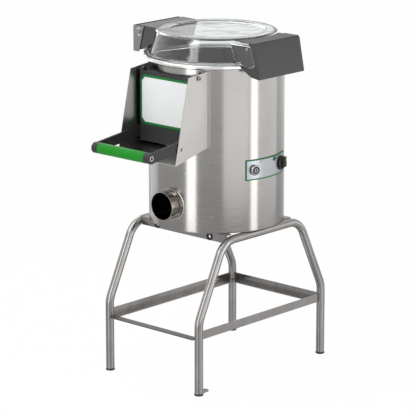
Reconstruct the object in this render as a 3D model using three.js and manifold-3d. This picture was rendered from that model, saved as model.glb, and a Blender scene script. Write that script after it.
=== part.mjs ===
// Floor-standing electric potato peeler: a steel drum with a rotating abrasive plate,
// a clear hinged lid, a discharge chute with a handled door, and a bent-tube stand.
// Millimetres, +Z up, front towards -Y. The drum's axis is the line X = 0, Y = 0 in every
// function below, and the last lines move the whole part to stand on its own origin.
import * as THREE from 'three';
import { mergeVertices } from 'three/addons/utils/BufferGeometryUtils.js';
import Module from 'manifold-3d';

const wasm = await Module();
wasm.setup();

// Clearances shared by all pieces
const seatGap = 0.3;
const overrun = 20;
const mergeDistance = 0.0005;
const roundSides = 16;
const smallSides = 12;
const hexSides = 6;
const endSteps = 6;
const cornerSteps = 3;

// Drum and base
const drumRadius = 200;
const drumSheet = 1.5;
const drumBottom = 450;
const drumHeight = 482;
const drumTop = drumBottom + drumHeight;
const drumSides = 40;
const baseSheet = 2;
const baseRingHeight = 18;
const rimOverhang = 13;
const rimRadius = drumRadius + rimOverhang;
const rimHeight = 12;
const rimEdge = 2;
const rimTuck = 2;
const rimLipInset = 4;
const rimLipRadius = drumRadius - rimLipInset;
const rimLipDepth = 6;
const gasketHeight = 1.7;
const gasketWidth = 6;
const gasketInnerRadius = drumRadius - gasketWidth / 2;
const gasketOuterRadius = drumRadius + gasketWidth / 2;

// Stand tubes and feet
const tubeRadius = 12.5;
const tubeWall = 1.5;
const tubeSides = 10;
const legInset = 21;
const legSpread = 73;
const shoulderInset = 33;
const legX = drumRadius - legInset;
const legY = drumRadius + legSpread;
const shoulderY = drumRadius - shoulderInset;
const kneeHeight = 218;
const kneeRadius = 80;
const shoulderRadius = 70;
const bendSteps = 3;
const footRadius = 13.5;
const footHeight = 6;
const footSpigotHeight = 18;

// Stand rails and floor lug
const railLeg = 25;
const railSheet = 3;
const topRailInset = 55;
const topRailY = drumRadius - topRailInset;
const topRailHoleRadius = 8.5;
const topRailHoleInset = 96;
const topRailHoleX = drumRadius - topRailHoleInset;
const topRailHoleDrop = 14;
const trayHeight = 165;
const lugRadius = 11;
const lugReach = 26;
const lugHoleRadius = 4.5;
const lugThickness = 4;

// Discharge chute
const chuteHalfWidth = 114;
const chuteSheet = 1.5;
const chuteProjection = 100;
const chuteTopProjection = 44;
const chuteTopDrop = 14;
const chuteFloorDrop = 8.8;
const chuteReach = drumRadius + chuteProjection;
const chuteTopReach = drumRadius + chuteTopProjection;
const chuteTop = drumTop - chuteTopDrop;
const chuteFloorPitchDeg = 13.6;
const chuteTopPitchDeg = 5.7;
const chuteFlange = 12;
const chuteHem = 8;
const stopStudRadius = 5;
const stopStudHeight = 3;
const stopStudInset = 30;
const stopStudRise = 44;

// Door in the chute
const doorSideGap = 10;
const doorDepth = 15;
const doorTopDrop = 23;
const doorHalfWidth = chuteHalfWidth - doorSideGap;
const doorFace = drumRadius + doorDepth;
const doorTop = drumTop - doorTopDrop;
const doorSkin = 7;
const doorRim = 7;
const doorSealThickness = 3.7;
const doorSealWidth = 9;
const doorHoleInset = 12;
const doorHoleSill = 10;
const doorHoleDrop = 13;
const doorPivotOut = 1;
const doorPivotRise = 2;
const doorHoleHalfWidth = doorHalfWidth - doorHoleInset;
const doorHoleTop = doorTop - doorHoleDrop;
const doorPivotY = drumRadius + doorPivotOut;
const doorPivotZ = doorTop + doorPivotRise;
const doorEarRadius = 9;
const doorStudRadius = 4;
const doorStudHeadRadius = 7;
const doorStudHeadHeight = 4;
const doorStudReach = 15;

// Label plate on the door
const labelSideMargin = 2;
const labelTopMargin = 9;
const labelSill = 50;
const labelWidth = 2 * (doorHalfWidth - labelSideMargin);
const labelChamfer = 16;
const labelBorder = 7;
const labelThickness = 1.2;

// Door handle
const armThickness = 6.5;
const armHeight = 30;
const armBackInset = 9;
const armBackRise = 29.7;
const gripReach = 193.5;
const gripRise = 6;
const armBackY = drumRadius - armBackInset;
const gripY = drumRadius + gripReach;
const gripRadius = 16;
const gripEndInset = 13;
const bossStandout = 8;
const gripHalfLength = doorHalfWidth - gripEndInset;
const bossHalfLength = doorHalfWidth + bossStandout;
const handleRodRadius = 6;
const handleHeadRadius = 8;
const handleHeadHeight = 4;
const hexRadius = 4;
const hexDepth = 3;
const gripSides = 18;

// Waste outlet
const outletRadius = 42.5;
const outletWall = 2;
const outletRise = 75;
const outletProjection = 37;
const outletDropShare = 0.64;
const outletZ = drumBottom + outletRise;
const outletReach = drumRadius + outletProjection;
const outletDropY = drumRadius * outletDropShare;
const outletBend = 52;
const outletSides = 16;
const collarWidth = 6.5;
const collarProjection = 6;
const collarReach = drumRadius + collarProjection;
const collarDepth = 30;

// Peeling chamber
const linerThickness = 5;
const linerRise = 12;
const linerTopDrop = 92;
const panRise = 216;
const panFloor = drumBottom + panRise;
const panSheet = 2;
const panRimHeight = 14;
const panCollarRadius = 18;
const panCollarHeight = 15;
const plateInset = 12;
const plateRise = 32;
const plateRadius = drumRadius - plateInset;
const plateBottom = panFloor + plateRise;
const linerBottom = plateBottom + linerRise;
const linerTop = drumTop - linerTopDrop;
const doorSill = 6;
const doorBottom = plateBottom + doorSill;
const doorHoleBottom = doorBottom + doorHoleSill;
const labelBottom = doorBottom + labelSill;
const labelHeight = doorTop - labelTopMargin - labelBottom;
const armBackZ = doorBottom + armBackRise;
const gripZ = doorBottom + gripRise;
const plateThickness = 8;
const waveCount = 3;
const waveSteps = 8;
const waveHeight = 9;
const waveWidth = 46;
const waveInner = 34;
const waveEndInset = 8;
const waveOuter = plateRadius - waveEndInset;
const vaneThickness = 6;
const vaneDepth = 25;
const vaneInner = 52;
const vaneEndInset = 4;
const vaneOuter = plateRadius - vaneEndInset;

// Spindle, bearings and belt drive
const spindleRadius = 14;
const spindleTail = 4;
const spindleFlangeRadius = 45;
const spindleFlangeHeight = 10;
const spindleStudRadius = 10;
const spindleNutRadius = 16;
const spindleNutHeight = 9;
const housingFlangeRadius = 50;
const housingRadius = 36;
const housingFlangeHeight = 8;
const housingHeight = 65.7;
const bearingRadius = 26;
const bearingHeight = 12;
const bearingInset = 4;
const pulleyRise = 110;
const pulleyBottom = drumBottom + pulleyRise;
const spindleBottom = pulleyBottom - spindleTail;
const pulleyHeight = 20;
const pulleyFlange = 3;
const motorInset = 80;
const motorY = drumRadius - motorInset;
const drivenPulleyShare = 0.55;
const beltRatio = 3;
const drivenPitchRadius = motorY * drivenPulleyShare;
const motorPitchRadius = drivenPitchRadius / beltRatio;
const grooveDepth = 8.8;
const pulleyOverBelt = 0.5;
const beltHeight = 5.4;
const motorRadius = 58;
const motorPulleyGap = 20;
const motorTop = pulleyBottom - motorPulleyGap;
const motorFlange = 124;
const motorFlangeHeight = 8;
const motorBell = 10;
const motorShaftRadius = 7;
const motorShaftInsert = 22;
const pulleySides = 24;
const beltSteps = 20;

// Control panel: angles run from the front (-Y) towards +X
const panelFromDeg = 66.8;
const panelToDeg = 118.2;
const panelRise = 152;
const panelBottom = drumBottom + panelRise;
const panelHeight = 61;
const panelThickness = 1.8;
const panelBorder = 3.5;
const panelSteps = 9;
const buttonDeg = 75;
const buttonRise = 30;
const buttonZ = panelBottom + buttonRise;
const buttonRadius = 11;
const buttonStandout = 13;
const buttonBezelRadius = 15.5;
const buttonBezelHeight = 9;
const buttonBarrelRadius = 13;
const buttonBarrelDepth = 22;
const buttonBack = 14;
const buttonFloor = 19;
const buttonClearance = 0.4;
const buttonRound = 1.8;
const knobDeg = 110;
const knobRise = 31;
const knobZ = panelBottom + knobRise;
const knobRadius = 21.5;
const knobSkirt = 6;
const knobRound = 2;
const knobBarWidth = 9;
const knobBarHeight = 12;
const knobSpindleRadius = 4;
const knobSpindleDepth = 12;
const pointerLength = 12;
const pointerWidth = 5;
const pointerHeight = 1;
const lampDeg = 82.5;
const lampRise = 51;
const lampZ = panelBottom + lampRise;
const lampRadius = 4.2;
const lampHeight = 2.6;
const lampStemRadius = 3;
const lampStemDepth = 8;

// Rear connections
const inletDrop = 44;
const inletZ = drumTop - inletDrop;
const inletDeg = 180;
const inletBore = 5;
const inletPipeRadius = 8;
const inletFlangeRadius = 14;
const inletFlangeHeight = 5;
const inletInside = 22;
const inletOutside = 42;
const inletBarb = 1.5;
const inletBarbs = 2;
const glandRise = 105;
const glandZ = drumBottom + glandRise;
const glandDeg = 163;
const glandStemRadius = 8;
const glandStemDepth = 12;
const glandNutRadius = 12;
const glandNutHeight = 7;
const glandDomeRadius = 9;
const glandLength = 22;
const glandMouthRadius = 4;
const glandMouthDepth = 6;

// Lid
const lidFlangeThickness = 3.7;
const lidBaseInset = 6;
const lidShoulderInset = 22;
const lidTopInset = 28;
const lidRecessInset = 57;
const lidHeight = 71;
const lidBaseRadius = drumRadius - lidBaseInset;
const lidShoulderRadius = drumRadius - lidShoulderInset;
const lidTopRadius = drumRadius - lidTopInset;
const lidTop = drumTop + rimHeight + lidHeight;
const lidShoulderDrop = 3;
const lidWall = 3;
const lidRecessRadius = drumRadius - lidRecessInset;
const lidRecessDepth = 5;
const lidRecessSlope = 5;

// Lid hinge, on the left
const pivotOut = 12;
const pivotDrop = 20;
const hingeWallOut = 36;
const hingeX = -drumRadius - pivotOut;
const pivotZ = lidTop - pivotDrop;
const hingeWallX = -drumRadius - hingeWallOut;
const hingeSheet = 2;
const cheekFront = -105;
const cheekRear = 89;
const hingeRise = 3;
const hingeTopDrop = 2;
const hingeBottom = drumTop + hingeRise;
const hingeTop = lidTop - hingeTopDrop;
const hingeTopReach = 43;
const hingeBottomReach = 22;
const hingeCorner = 6;
const hingeFootHalfWidth = 45;
const hingeShelfDrop = 7;
const hingeShelfTop = drumTop - hingeShelfDrop;
const hingeShelfSheet = 3;
const hingeFootDrop = 3;
const hingeFootHeight = 31;
const hingeFootTop = drumTop - hingeFootDrop;
const hingeFootBottom = hingeFootTop - hingeFootHeight;
const pivotBoltRadius = 5;
const boltHeadRadius = 9.5;
const boltHeadHeight = 6;
const knuckleRadius = 20;
const hingeSwingGap = 1;
const knuckleEndDeg = 200;
const swingFromDeg = 252;
const swingToDeg = 292;
const knuckleSteps = 5;
const hingeCoverDrop = 36;
const hingePlateThickness = 12;
const lugWall = 4;
const lugTop = 18;
const lugInnerReach = 70;
const cheekGap = 0.5;

// Lid catch, on the right
const catchX = drumRadius + pivotOut;
const seamX = 12;
const seamTop = 8;
const seamPitchDeg = 16.8;
const seamEndDeg = -118;
const seamGap = 1.5;
const catchSwing = 55;
const catchPlateThickness = 6;
const catchWebReach = 20;
const catchWebDrop = 10;
const catchWebTop = pivotZ - catchWebDrop;
const catchLugDrop = 33;
const catchWall = 2.5;
const catchTop = 18;
const catchTopReach = 26;
const catchCornerX = 24;
const catchCornerDrop = 5;
const catchBottomX = 48;
const catchBottomZ = 82;
const catchSkirtX = 14;
const catchSkirtZ = 80;
const catchToeX = 20;
const catchToeZ = 60;
const catchToeHeight = 16;
const catchRimGap = 1.5;
const catchLidGap = 8;
const catchRibThickness = 5;
const catchRibInset = 7;
const catchRibRadius = 9;
const catchRibReach = 34;
const catchRibDrop = 14;
const catchPinRadius = 4;
const catchRivetRadius = 6;
const catchRivetHeight = 2;

const deg = Math.PI / 180;

const steel = new THREE.MeshStandardMaterial({ color: 0xa8a8a6, roughness: 0.35, metalness: 1 });
const polished = new THREE.MeshStandardMaterial({ color: 0xd6d6d4, roughness: 0.15, metalness: 1 });
const tubeSteel = new THREE.MeshStandardMaterial({ color: 0x8e8e8c, roughness: 0.4, metalness: 1 });
const castGrey = new THREE.MeshStandardMaterial({ color: 0x55565a, roughness: 0.5, metalness: 0.2 });
const darkPlastic = new THREE.MeshStandardMaterial({ color: 0x5b5d60, roughness: 0.45, metalness: 0 });
const blackPlastic = new THREE.MeshStandardMaterial({ color: 0x161616, roughness: 0.5, metalness: 0 });
const greenPlastic = new THREE.MeshStandardMaterial({ color: 0x23822d, roughness: 0.45, metalness: 0 });
const greenPrint = new THREE.MeshStandardMaterial({ color: 0x0b7a33, roughness: 0.5, metalness: 0 });
const palePlate = new THREE.MeshStandardMaterial({ color: 0xdfe0e2, roughness: 0.4, metalness: 0.1 });
const rubber = new THREE.MeshStandardMaterial({ color: 0x26211f, roughness: 0.8, metalness: 0 });
const abrasive = new THREE.MeshStandardMaterial({ color: 0x77736c, roughness: 0.95, metalness: 0 });
const cream = new THREE.MeshStandardMaterial({ color: 0xe9e2c4, roughness: 0.5, metalness: 0 });
const motorPaint = new THREE.MeshStandardMaterial({ color: 0x3c4c5c, roughness: 0.6, metalness: 0.1 });
const clear = new THREE.MeshStandardMaterial({
  color: 0xf2f5f6, roughness: 0.08, metalness: 0, transparent: true, opacity: 0.35,
});

// A closed mesh with shared vertices, no flattened triangles and its faces pointing out
function closed(geometry) {
  const bare = geometry.clone();
  bare.deleteAttribute('normal');
  bare.deleteAttribute('uv');
  const merged = mergeVertices(bare, mergeDistance);
  const positions = merged.attributes.position;
  const corners = merged.index.array;
  const kept = [];
  for (let i = 0; i < corners.length; i += 3) {
    const [a, b, c] = [corners[i], corners[i + 1], corners[i + 2]];
    if (a !== b && b !== c && c !== a) kept.push([a, b, c]);
  }
  const at = (i) => new THREE.Vector3().fromBufferAttribute(positions, i);
  const sixfold = kept.reduce((sum, [a, b, c]) => sum + at(a).dot(at(b).cross(at(c))), 0);
  const facing = sixfold < 0 ? kept.map(([a, b, c]) => [a, c, b]) : kept;
  const result = new THREE.BufferGeometry();
  result.setAttribute('position', positions);
  result.setIndex(facing.flat());
  result.computeVertexNormals();
  return result;
}

function toSolid(geometry) {
  const shape = closed(geometry);
  return new wasm.Manifold(new wasm.Mesh({
    numProp: 3,
    vertProperties: new Float32Array(shape.attributes.position.array),
    triVerts: new Uint32Array(shape.index.array),
  }));
}

function toGeometry(solid) {
  const mesh = solid.getMesh();
  const geometry = new THREE.BufferGeometry();
  geometry.setAttribute('position', new THREE.BufferAttribute(mesh.vertProperties, 3));
  geometry.setIndex(new THREE.BufferAttribute(mesh.triVerts, 1));
  return geometry;
}

function join(...geometries) {
  return toGeometry(geometries.map(toSolid).reduce((a, b) => a.add(b)));
}

function cut(geometry, ...tools) {
  return toGeometry(tools.map(toSolid).reduce((a, b) => a.subtract(b), toSolid(geometry)));
}

function common(a, b) {
  return toGeometry(toSolid(a).intersect(toSolid(b)));
}

function block([x0, x1], [y0, y1], [z0, z1]) {
  const box = new THREE.BoxGeometry(x1 - x0, y1 - y0, z1 - z0);
  return box.translate((x0 + x1) / 2, (y0 + y1) / 2, (z0 + z1) / 2);
}

// Matrices that lay a shape drawn in X and Y, and raised along Z, onto another pair of axes
const layings = {
  z: new THREE.Matrix4(),
  y: new THREE.Matrix4().makeBasis(
    new THREE.Vector3(1, 0, 0), new THREE.Vector3(0, 0, 1), new THREE.Vector3(0, -1, 0),
  ),
  x: new THREE.Matrix4().makeBasis(
    new THREE.Vector3(0, 1, 0), new THREE.Vector3(0, 0, 1), new THREE.Vector3(1, 0, 0),
  ),
};

// A straight-sided solid between two places on an axis: outlines are (y, z) on X, (x, z) on Y
function prism(axis, outline, from, to, holes = []) {
  const shape = new THREE.Shape(outline.map(([a, b]) => new THREE.Vector2(a, b)));
  holes.forEach((hole) => shape.holes.push(new THREE.Path(hole.map(([a, b]) => new THREE.Vector2(a, b)))));
  const solid = new THREE.ExtrudeGeometry(shape, { depth: to - from, bevelEnabled: false, steps: 1 });
  const start = axis === 'y' ? -to : from;
  return solid.translate(0, 0, start).applyMatrix4(layings[axis]);
}

function circle(radius, sides, [a, b] = [0, 0]) {
  const turn = (2 * Math.PI) / sides;
  const point = (angle) => [a + radius * Math.cos(angle), b + radius * Math.sin(angle)];
  return Array.from({ length: sides }, (_, i) => point(i * turn));
}

function arc(radius, fromDeg, toDeg, steps, [a, b] = [0, 0]) {
  return Array.from({ length: steps + 1 }, (_, i) => {
    const angle = (fromDeg + ((toDeg - fromDeg) * i) / steps) * deg;
    return [a + radius * Math.cos(angle), b + radius * Math.sin(angle)];
  });
}

function rod(axis, radius, from, to, centre = [0, 0], sides = smallSides) {
  return prism(axis, circle(radius, sides, centre), from, to);
}

// A turned solid about Z, from (radius, z) points that close on the axis or on themselves
function turned(points, sides = roundSides) {
  const profile = points.map(([r, z]) => new THREE.Vector2(r, z));
  return new THREE.LatheGeometry(profile, sides).rotateX(Math.PI / 2);
}

function ring(inner, outer, bottom, top, sides = roundSides) {
  return turned([[inner, bottom], [outer, bottom], [outer, top], [inner, top], [inner, bottom]], sides);
}

function drumCylinder(radius, bottom, top) {
  return turned([[0, bottom], [radius, bottom], [radius, top], [0, top]], drumSides);
}

// A piece of a vertical ring, between two angles counted from the front towards +X
function ringSector(inner, outer, fromDeg, toDeg, bottom, top, steps) {
  const outside = arc(outer, fromDeg - 90, toDeg - 90, steps);
  const inside = arc(inner, toDeg - 90, fromDeg - 90, steps);
  return prism('z', [...outside, ...inside], bottom, top);
}

function mirrored(geometry) {
  return geometry.clone().scale(-1, 1, 1);
}

// A route of straight runs and round bends, with one station at each bend step
class BentPath extends THREE.Curve {
  constructor(corners, radii) {
    super();
    this.points = [corners[0]];
    this.tangents = [corners[1].clone().sub(corners[0]).normalize()];
    for (let i = 1; i < corners.length - 1; i += 1) {
      this.addBend(corners[i - 1], corners[i], corners[i + 1], radii[i - 1]);
    }
    this.points.push(corners.at(-1));
    this.tangents.push(corners.at(-1).clone().sub(corners.at(-2)).normalize());
  }

  addBend(before, corner, after, radius) {
    const inward = corner.clone().sub(before).normalize();
    const outward = after.clone().sub(corner).normalize();
    const angle = inward.angleTo(outward);
    const side = outward.clone().addScaledVector(inward, -outward.dot(inward)).normalize();
    const start = corner.clone().addScaledVector(inward, -radius * Math.tan(angle / 2));
    for (let k = 0; k <= bendSteps; k += 1) {
      const turn = (angle * k) / bendSteps;
      const along = start.clone().addScaledVector(inward, radius * Math.sin(turn));
      this.points.push(along.addScaledVector(side, radius * (1 - Math.cos(turn))));
      const tangent = inward.clone().multiplyScalar(Math.cos(turn));
      this.tangents.push(tangent.addScaledVector(side, Math.sin(turn)));
    }
  }

  station(t) {
    return Math.round(t * (this.points.length - 1));
  }

  getPoint(t) {
    return this.points[this.station(t)].clone();
  }

  getTangent(t) {
    return this.tangents[this.station(t)].clone();
  }

  getUtoTmapping(u) {
    return u;
  }
}

// A hollow tube with open ends along a bent path
function tube(radius, wall, sides, path) {
  const section = new THREE.Shape(circle(radius, sides).map(([a, b]) => new THREE.Vector2(a, b)));
  const bore = circle(radius - wall, sides).map(([a, b]) => new THREE.Vector2(a, b));
  section.holes.push(new THREE.Path(bore));
  return new THREE.ExtrudeGeometry(section, { steps: path.points.length - 1, extrudePath: path });
}

// Lays a piece made about its own +Z onto the drum, with +Z pointing away from the drum's axis
function onDrum(angleDeg, z) {
  const out = new THREE.Vector3(Math.sin(angleDeg * deg), -Math.cos(angleDeg * deg), 0);
  const up = new THREE.Vector3(0, 0, 1);
  const across = up.clone().cross(out);
  const place = new THREE.Matrix4().makeBasis(across, up, out);
  return place.setPosition(out.x * drumRadius, out.y * drumRadius, z);
}

function piece(parent, name, geometry, material) {
  const mesh = new THREE.Mesh(closed(geometry), material);
  mesh.name = name;
  parent.add(mesh);
  return mesh;
}

function holeInDrum(angleDeg, z, radius) {
  return rod('z', radius + seatGap, -overrun, overrun, [0, 0], roundSides).applyMatrix4(onDrum(angleDeg, z));
}

// Stand

function sideFrame(parent, name, side) {
  const foot = footHeight + seatGap;
  const top = drumBottom - seatGap - tubeRadius;
  const route = [
    [-legY, foot], [-legY, kneeHeight], [-shoulderY, top],
    [shoulderY, top], [legY, kneeHeight], [legY, foot],
  ];
  const corners = route.map(([y, z]) => new THREE.Vector3(0, y, z));
  const path = new BentPath(corners, [kneeRadius, shoulderRadius, shoulderRadius, kneeRadius]);
  piece(parent, name, tube(tubeRadius, tubeWall, tubeSides, path), tubeSteel).position.x = side * legX;
}

function foot(parent, name, sideX, sideY) {
  const spigot = tubeRadius - tubeWall - seatGap;
  const profile = [
    [0, 0], [footRadius - seatGap, 0], [footRadius, seatGap], [footRadius, footHeight],
    [spigot, footHeight], [spigot, footHeight + footSpigotHeight], [0, footHeight + footSpigotHeight],
  ];
  piece(parent, name, turned(profile, tubeSides), blackPlastic).position.set(sideX * legX, sideY * legY, 0);
}

const railHalfLength = legX - tubeRadius - seatGap;

function topRail(parent, name, turn) {
  const top = drumBottom - seatGap;
  const outline = [
    [-topRailY, top - railLeg], [railSheet - topRailY, top - railLeg],
    [railSheet - topRailY, top - railSheet],
    [railLeg - topRailY, top - railSheet], [railLeg - topRailY, top], [-topRailY, top],
  ];
  const angle = prism('x', outline, -railHalfLength, railHalfLength);
  const drill = (x) => rod('y', topRailHoleRadius, -topRailY - overrun, railSheet - topRailY + seatGap,
    [x, top - topRailHoleDrop]);
  const rail = cut(angle, drill(-topRailHoleX), drill(topRailHoleX));
  piece(parent, name, rail, tubeSteel).rotation.z = turn;
}

function trayRunner(parent, name, turn) {
  const half = railSheet / 2;
  const reach = legY - tubeRadius - seatGap;
  const outline = [
    [-legX - half, trayHeight], [railLeg - legX, trayHeight], [railLeg - legX, trayHeight + railSheet],
    [half - legX, trayHeight + railSheet], [half - legX, trayHeight + railLeg],
    [-legX - half, trayHeight + railLeg],
  ];
  piece(parent, name, prism('y', outline, -reach, reach), tubeSteel).rotation.z = turn;
}

function trayRearRail(parent) {
  const half = railSheet / 2;
  const outline = [
    [legY + half, trayHeight], [legY + half, trayHeight + railLeg], [legY - half, trayHeight + railLeg],
    [legY - half, trayHeight + railSheet], [legY - railLeg, trayHeight + railSheet],
    [legY - railLeg, trayHeight],
  ];
  const angle = prism('x', outline, -railHalfLength, railHalfLength);
  const runnerEdge = legX - railLeg - seatGap;
  const notchY = [legY - railLeg - overrun, legY - tubeRadius];
  const notchZ = [trayHeight - overrun, trayHeight + railSheet + seatGap];
  const notch = block([runnerEdge, legX], notchY, notchZ);
  piece(parent, 'tray_rail_rear', cut(angle, notch, mirrored(notch)), tubeSteel);
}

function trayFrontBar(parent) {
  const depth = [-legY - tubeRadius, tubeRadius - legY];
  const bar = block([-railHalfLength, railHalfLength], depth, [trayHeight, trayHeight + railSheet]);
  piece(parent, 'tray_bar_front', bar, tubeSteel);
}

function floorLug(parent) {
  const centre = [0, lugReach];
  const outline = [[-lugRadius, 0], [lugRadius, 0], ...arc(lugRadius, 0, 180, endSteps, centre)];
  const bottom = footHeight + seatGap;
  const hole = circle(lugHoleRadius, smallSides, centre);
  const tab = prism('z', outline, bottom, bottom + lugThickness, [hole]);
  const lug = cut(tab, rod('z', tubeRadius + seatGap, 0, kneeHeight));
  piece(parent, 'floor_lug', lug, tubeSteel).position.set(legX, -legY, 0);
}

function stand(parent) {
  sideFrame(parent, 'side_frame_left', -1);
  sideFrame(parent, 'side_frame_right', 1);
  foot(parent, 'foot_front_left', -1, -1);
  foot(parent, 'foot_front_right', 1, -1);
  foot(parent, 'foot_rear_left', -1, 1);
  foot(parent, 'foot_rear_right', 1, 1);
  topRail(parent, 'top_rail_front', 0);
  topRail(parent, 'top_rail_rear', Math.PI);
  trayRunner(parent, 'tray_runner_left', 0);
  trayRunner(parent, 'tray_runner_right', Math.PI);
  trayRearRail(parent);
  trayFrontBar(parent);
  floorLug(parent);
}

// Drum

const drumInner = drumRadius - drumSheet;

function basePlate(parent) {
  const ringOuter = drumInner - seatGap;
  const ringTop = drumBottom + baseSheet + baseRingHeight;
  const profile = [
    [0, drumBottom], [drumRadius, drumBottom], [drumRadius, drumBottom + baseSheet],
    [ringOuter, drumBottom + baseSheet], [ringOuter, ringTop], [ringOuter - baseSheet, ringTop],
    [ringOuter - baseSheet, drumBottom + baseSheet], [0, drumBottom + baseSheet],
  ];
  piece(parent, 'base_plate', turned(profile, drumSides), steel);
}

function doorHole(bottom) {
  return block([-doorHoleHalfWidth, doorHoleHalfWidth], [-drumRadius - overrun, -drumRadius / 2],
    [bottom, doorHoleTop]);
}

function drumShell(parent) {
  const wall = ring(drumInner, drumRadius, drumBottom + baseSheet + seatGap, drumTop + rimTuck, drumSides);
  const bore = outletRadius + seatGap;
  const outlet = rod('y', bore, -drumRadius - overrun, -drumRadius / 2, [0, outletZ], outletSides);
  const shell = cut(wall, doorHole(doorHoleBottom), outlet,
    holeInDrum(buttonDeg, buttonZ, buttonBarrelRadius),
    holeInDrum(knobDeg, knobZ, knobSpindleRadius),
    holeInDrum(lampDeg, lampZ, lampStemRadius),
    holeInDrum(inletDeg, inletZ, inletPipeRadius),
    holeInDrum(glandDeg, glandZ, glandStemRadius));
  piece(parent, 'drum_shell', shell, steel);
}

const rimTop = drumTop + rimHeight;

// The rolled rim sits on the shell's top edge, which goes up into a groove in it
function rim(parent) {
  const grooveTop = drumTop + rimTuck + seatGap;
  const profile = [
    [drumRadius + seatGap, drumTop], [rimRadius - rimEdge, drumTop], [rimRadius, drumTop + rimEdge],
    [rimRadius, rimTop - rimEdge], [rimRadius - rimEdge, rimTop], [rimLipRadius, rimTop],
    [rimLipRadius, drumTop - rimLipDepth], [drumInner - seatGap, drumTop - rimLipDepth],
    [drumInner - seatGap, grooveTop], [drumRadius + seatGap, grooveTop], [drumRadius + seatGap, drumTop],
  ];
  piece(parent, 'rim_ring', turned(profile, drumSides), polished);
  const gasketBottom = rimTop + seatGap;
  const top = gasketBottom + gasketHeight;
  const gasket = ring(gasketInnerRadius, gasketOuterRadius, gasketBottom, top, drumSides);
  piece(parent, 'rim_gasket', gasket, rubber);
}

function liner(parent) {
  const outer = drumInner - seatGap;
  const sleeve = ring(outer - linerThickness, outer, linerBottom, linerTop, drumSides);
  piece(parent, 'chamber_liner', cut(sleeve, doorHole(linerBottom - overrun)), abrasive);
}

function catchPan(parent) {
  const outer = drumInner - seatGap;
  const top = panFloor + panSheet;
  const collarBore = spindleRadius + panSheet;
  const profile = [
    [collarBore, panFloor], [outer, panFloor], [outer, panFloor + panRimHeight],
    [outer - panSheet, panFloor + panRimHeight], [outer - panSheet, top], [panCollarRadius, top],
    [panCollarRadius, top + panCollarHeight], [collarBore, top + panCollarHeight], [collarBore, panFloor],
  ];
  const drain = rod('z', outletRadius - outletWall, panFloor - overrun, top + seatGap, [0, -outletDropY]);
  piece(parent, 'catch_pan', cut(turned(profile, drumSides), drain), steel);
}

function drum(parent) {
  basePlate(parent);
  drumShell(parent);
  rim(parent);
  liner(parent);
  catchPan(parent);
}

// Waste outlet

function outlet(parent) {
  const corners = [
    new THREE.Vector3(0, -outletDropY, panFloor - seatGap),
    new THREE.Vector3(0, -outletDropY, outletZ),
    new THREE.Vector3(0, -outletReach, outletZ),
  ];
  const pipe = tube(outletRadius, outletWall, outletSides, new BentPath(corners, [outletBend]));
  piece(parent, 'outlet_pipe', pipe, steel);
  const sleeve = prism('y', circle(outletRadius + collarWidth, outletSides, [0, outletZ]),
    -collarReach, collarDepth - collarReach, [circle(outletRadius + seatGap, outletSides, [0, outletZ])]);
  const drumSide = drumCylinder(drumRadius + seatGap, drumBottom, drumTop);
  piece(parent, 'outlet_collar', cut(sleeve, drumSide), steel);
}

// Chute

// The chute's floor starts just under the door and falls away towards the front
function chuteFloorZ(y) {
  return doorBottom - chuteFloorDrop + (y + drumRadius) * Math.tan(chuteFloorPitchDeg * deg);
}

const chuteBottom = chuteFloorZ(-chuteReach);

const chuteJoinY = -Math.sqrt(drumRadius ** 2 - chuteHalfWidth ** 2);
const chuteBackY = chuteJoinY + overrun;

function chuteSide() {
  const topRise = Math.tan(chuteTopPitchDeg * deg);
  const backTop = chuteTop + (chuteBackY + chuteTopReach) * topRise;
  const outline = [
    [-chuteReach, chuteBottom], [chuteBackY, chuteFloorZ(chuteBackY)],
    [chuteBackY, backTop], [-chuteTopReach, chuteTop],
  ];
  const holes = [circle(doorStudRadius + seatGap, smallSides, [-doorPivotY, doorPivotZ])];
  const inside = chuteHalfWidth - chuteSheet;
  const sheet = prism('x', outline, inside, chuteHalfWidth, holes);
  const fromDeg = Math.asin(inside / drumRadius) / deg;
  const toDeg = fromDeg + chuteFlange / drumRadius / deg;
  const joinTop = chuteTop + (chuteJoinY + chuteTopReach) * topRise;
  const flange = ringSector(drumRadius + seatGap, drumRadius + seatGap + chuteSheet, fromDeg, toDeg,
    chuteFloorZ(chuteJoinY), joinTop, 2);
  const stud = rod('x', stopStudRadius, chuteHalfWidth - chuteSheet / 2, chuteHalfWidth + stopStudHeight,
    [stopStudInset - chuteReach, chuteBottom + stopStudRise]);
  return join(cut(sheet, drumCylinder(drumRadius + seatGap, drumBottom, lidTop)), flange, stud);
}

function chuteFloor() {
  const half = chuteHalfWidth - chuteSheet - seatGap;
  const hemZ = chuteFloorZ(chuteHem - chuteReach);
  const outline = [
    [-chuteReach, chuteBottom], [chuteBackY, chuteFloorZ(chuteBackY)],
    [chuteBackY, chuteFloorZ(chuteBackY) + chuteSheet], [chuteHem - chuteReach, hemZ + chuteSheet],
    [chuteHem - chuteReach, hemZ + 2 * chuteSheet], [-chuteReach, chuteBottom + 2 * chuteSheet],
  ];
  const slab = prism('x', outline, -half, half);
  return cut(slab, drumCylinder(drumRadius + seatGap, drumBottom, drumTop));
}

function hexSocket(from, to, centre) {
  return rod('x', hexRadius, from, to, centre, hexSides);
}

function doorStud() {
  const head = chuteHalfWidth + seatGap;
  const end = head + doorStudHeadHeight;
  const centre = [-doorPivotY, doorPivotZ];
  const shank = rod('x', doorStudRadius, head - doorStudReach, head + seatGap, centre);
  const cap = rod('x', doorStudHeadRadius, head, end, centre);
  return cut(join(shank, cap), hexSocket(end - hexDepth, end + overrun, centre));
}

function chute(parent) {
  piece(parent, 'chute_side_right', chuteSide(), steel);
  piece(parent, 'chute_side_left', mirrored(chuteSide()), steel);
  piece(parent, 'chute_floor', chuteFloor(), steel);
  piece(parent, 'door_stud_right', doorStud(), polished);
  piece(parent, 'door_stud_left', mirrored(doorStud()), polished);
}

// Door and its handle

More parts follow.
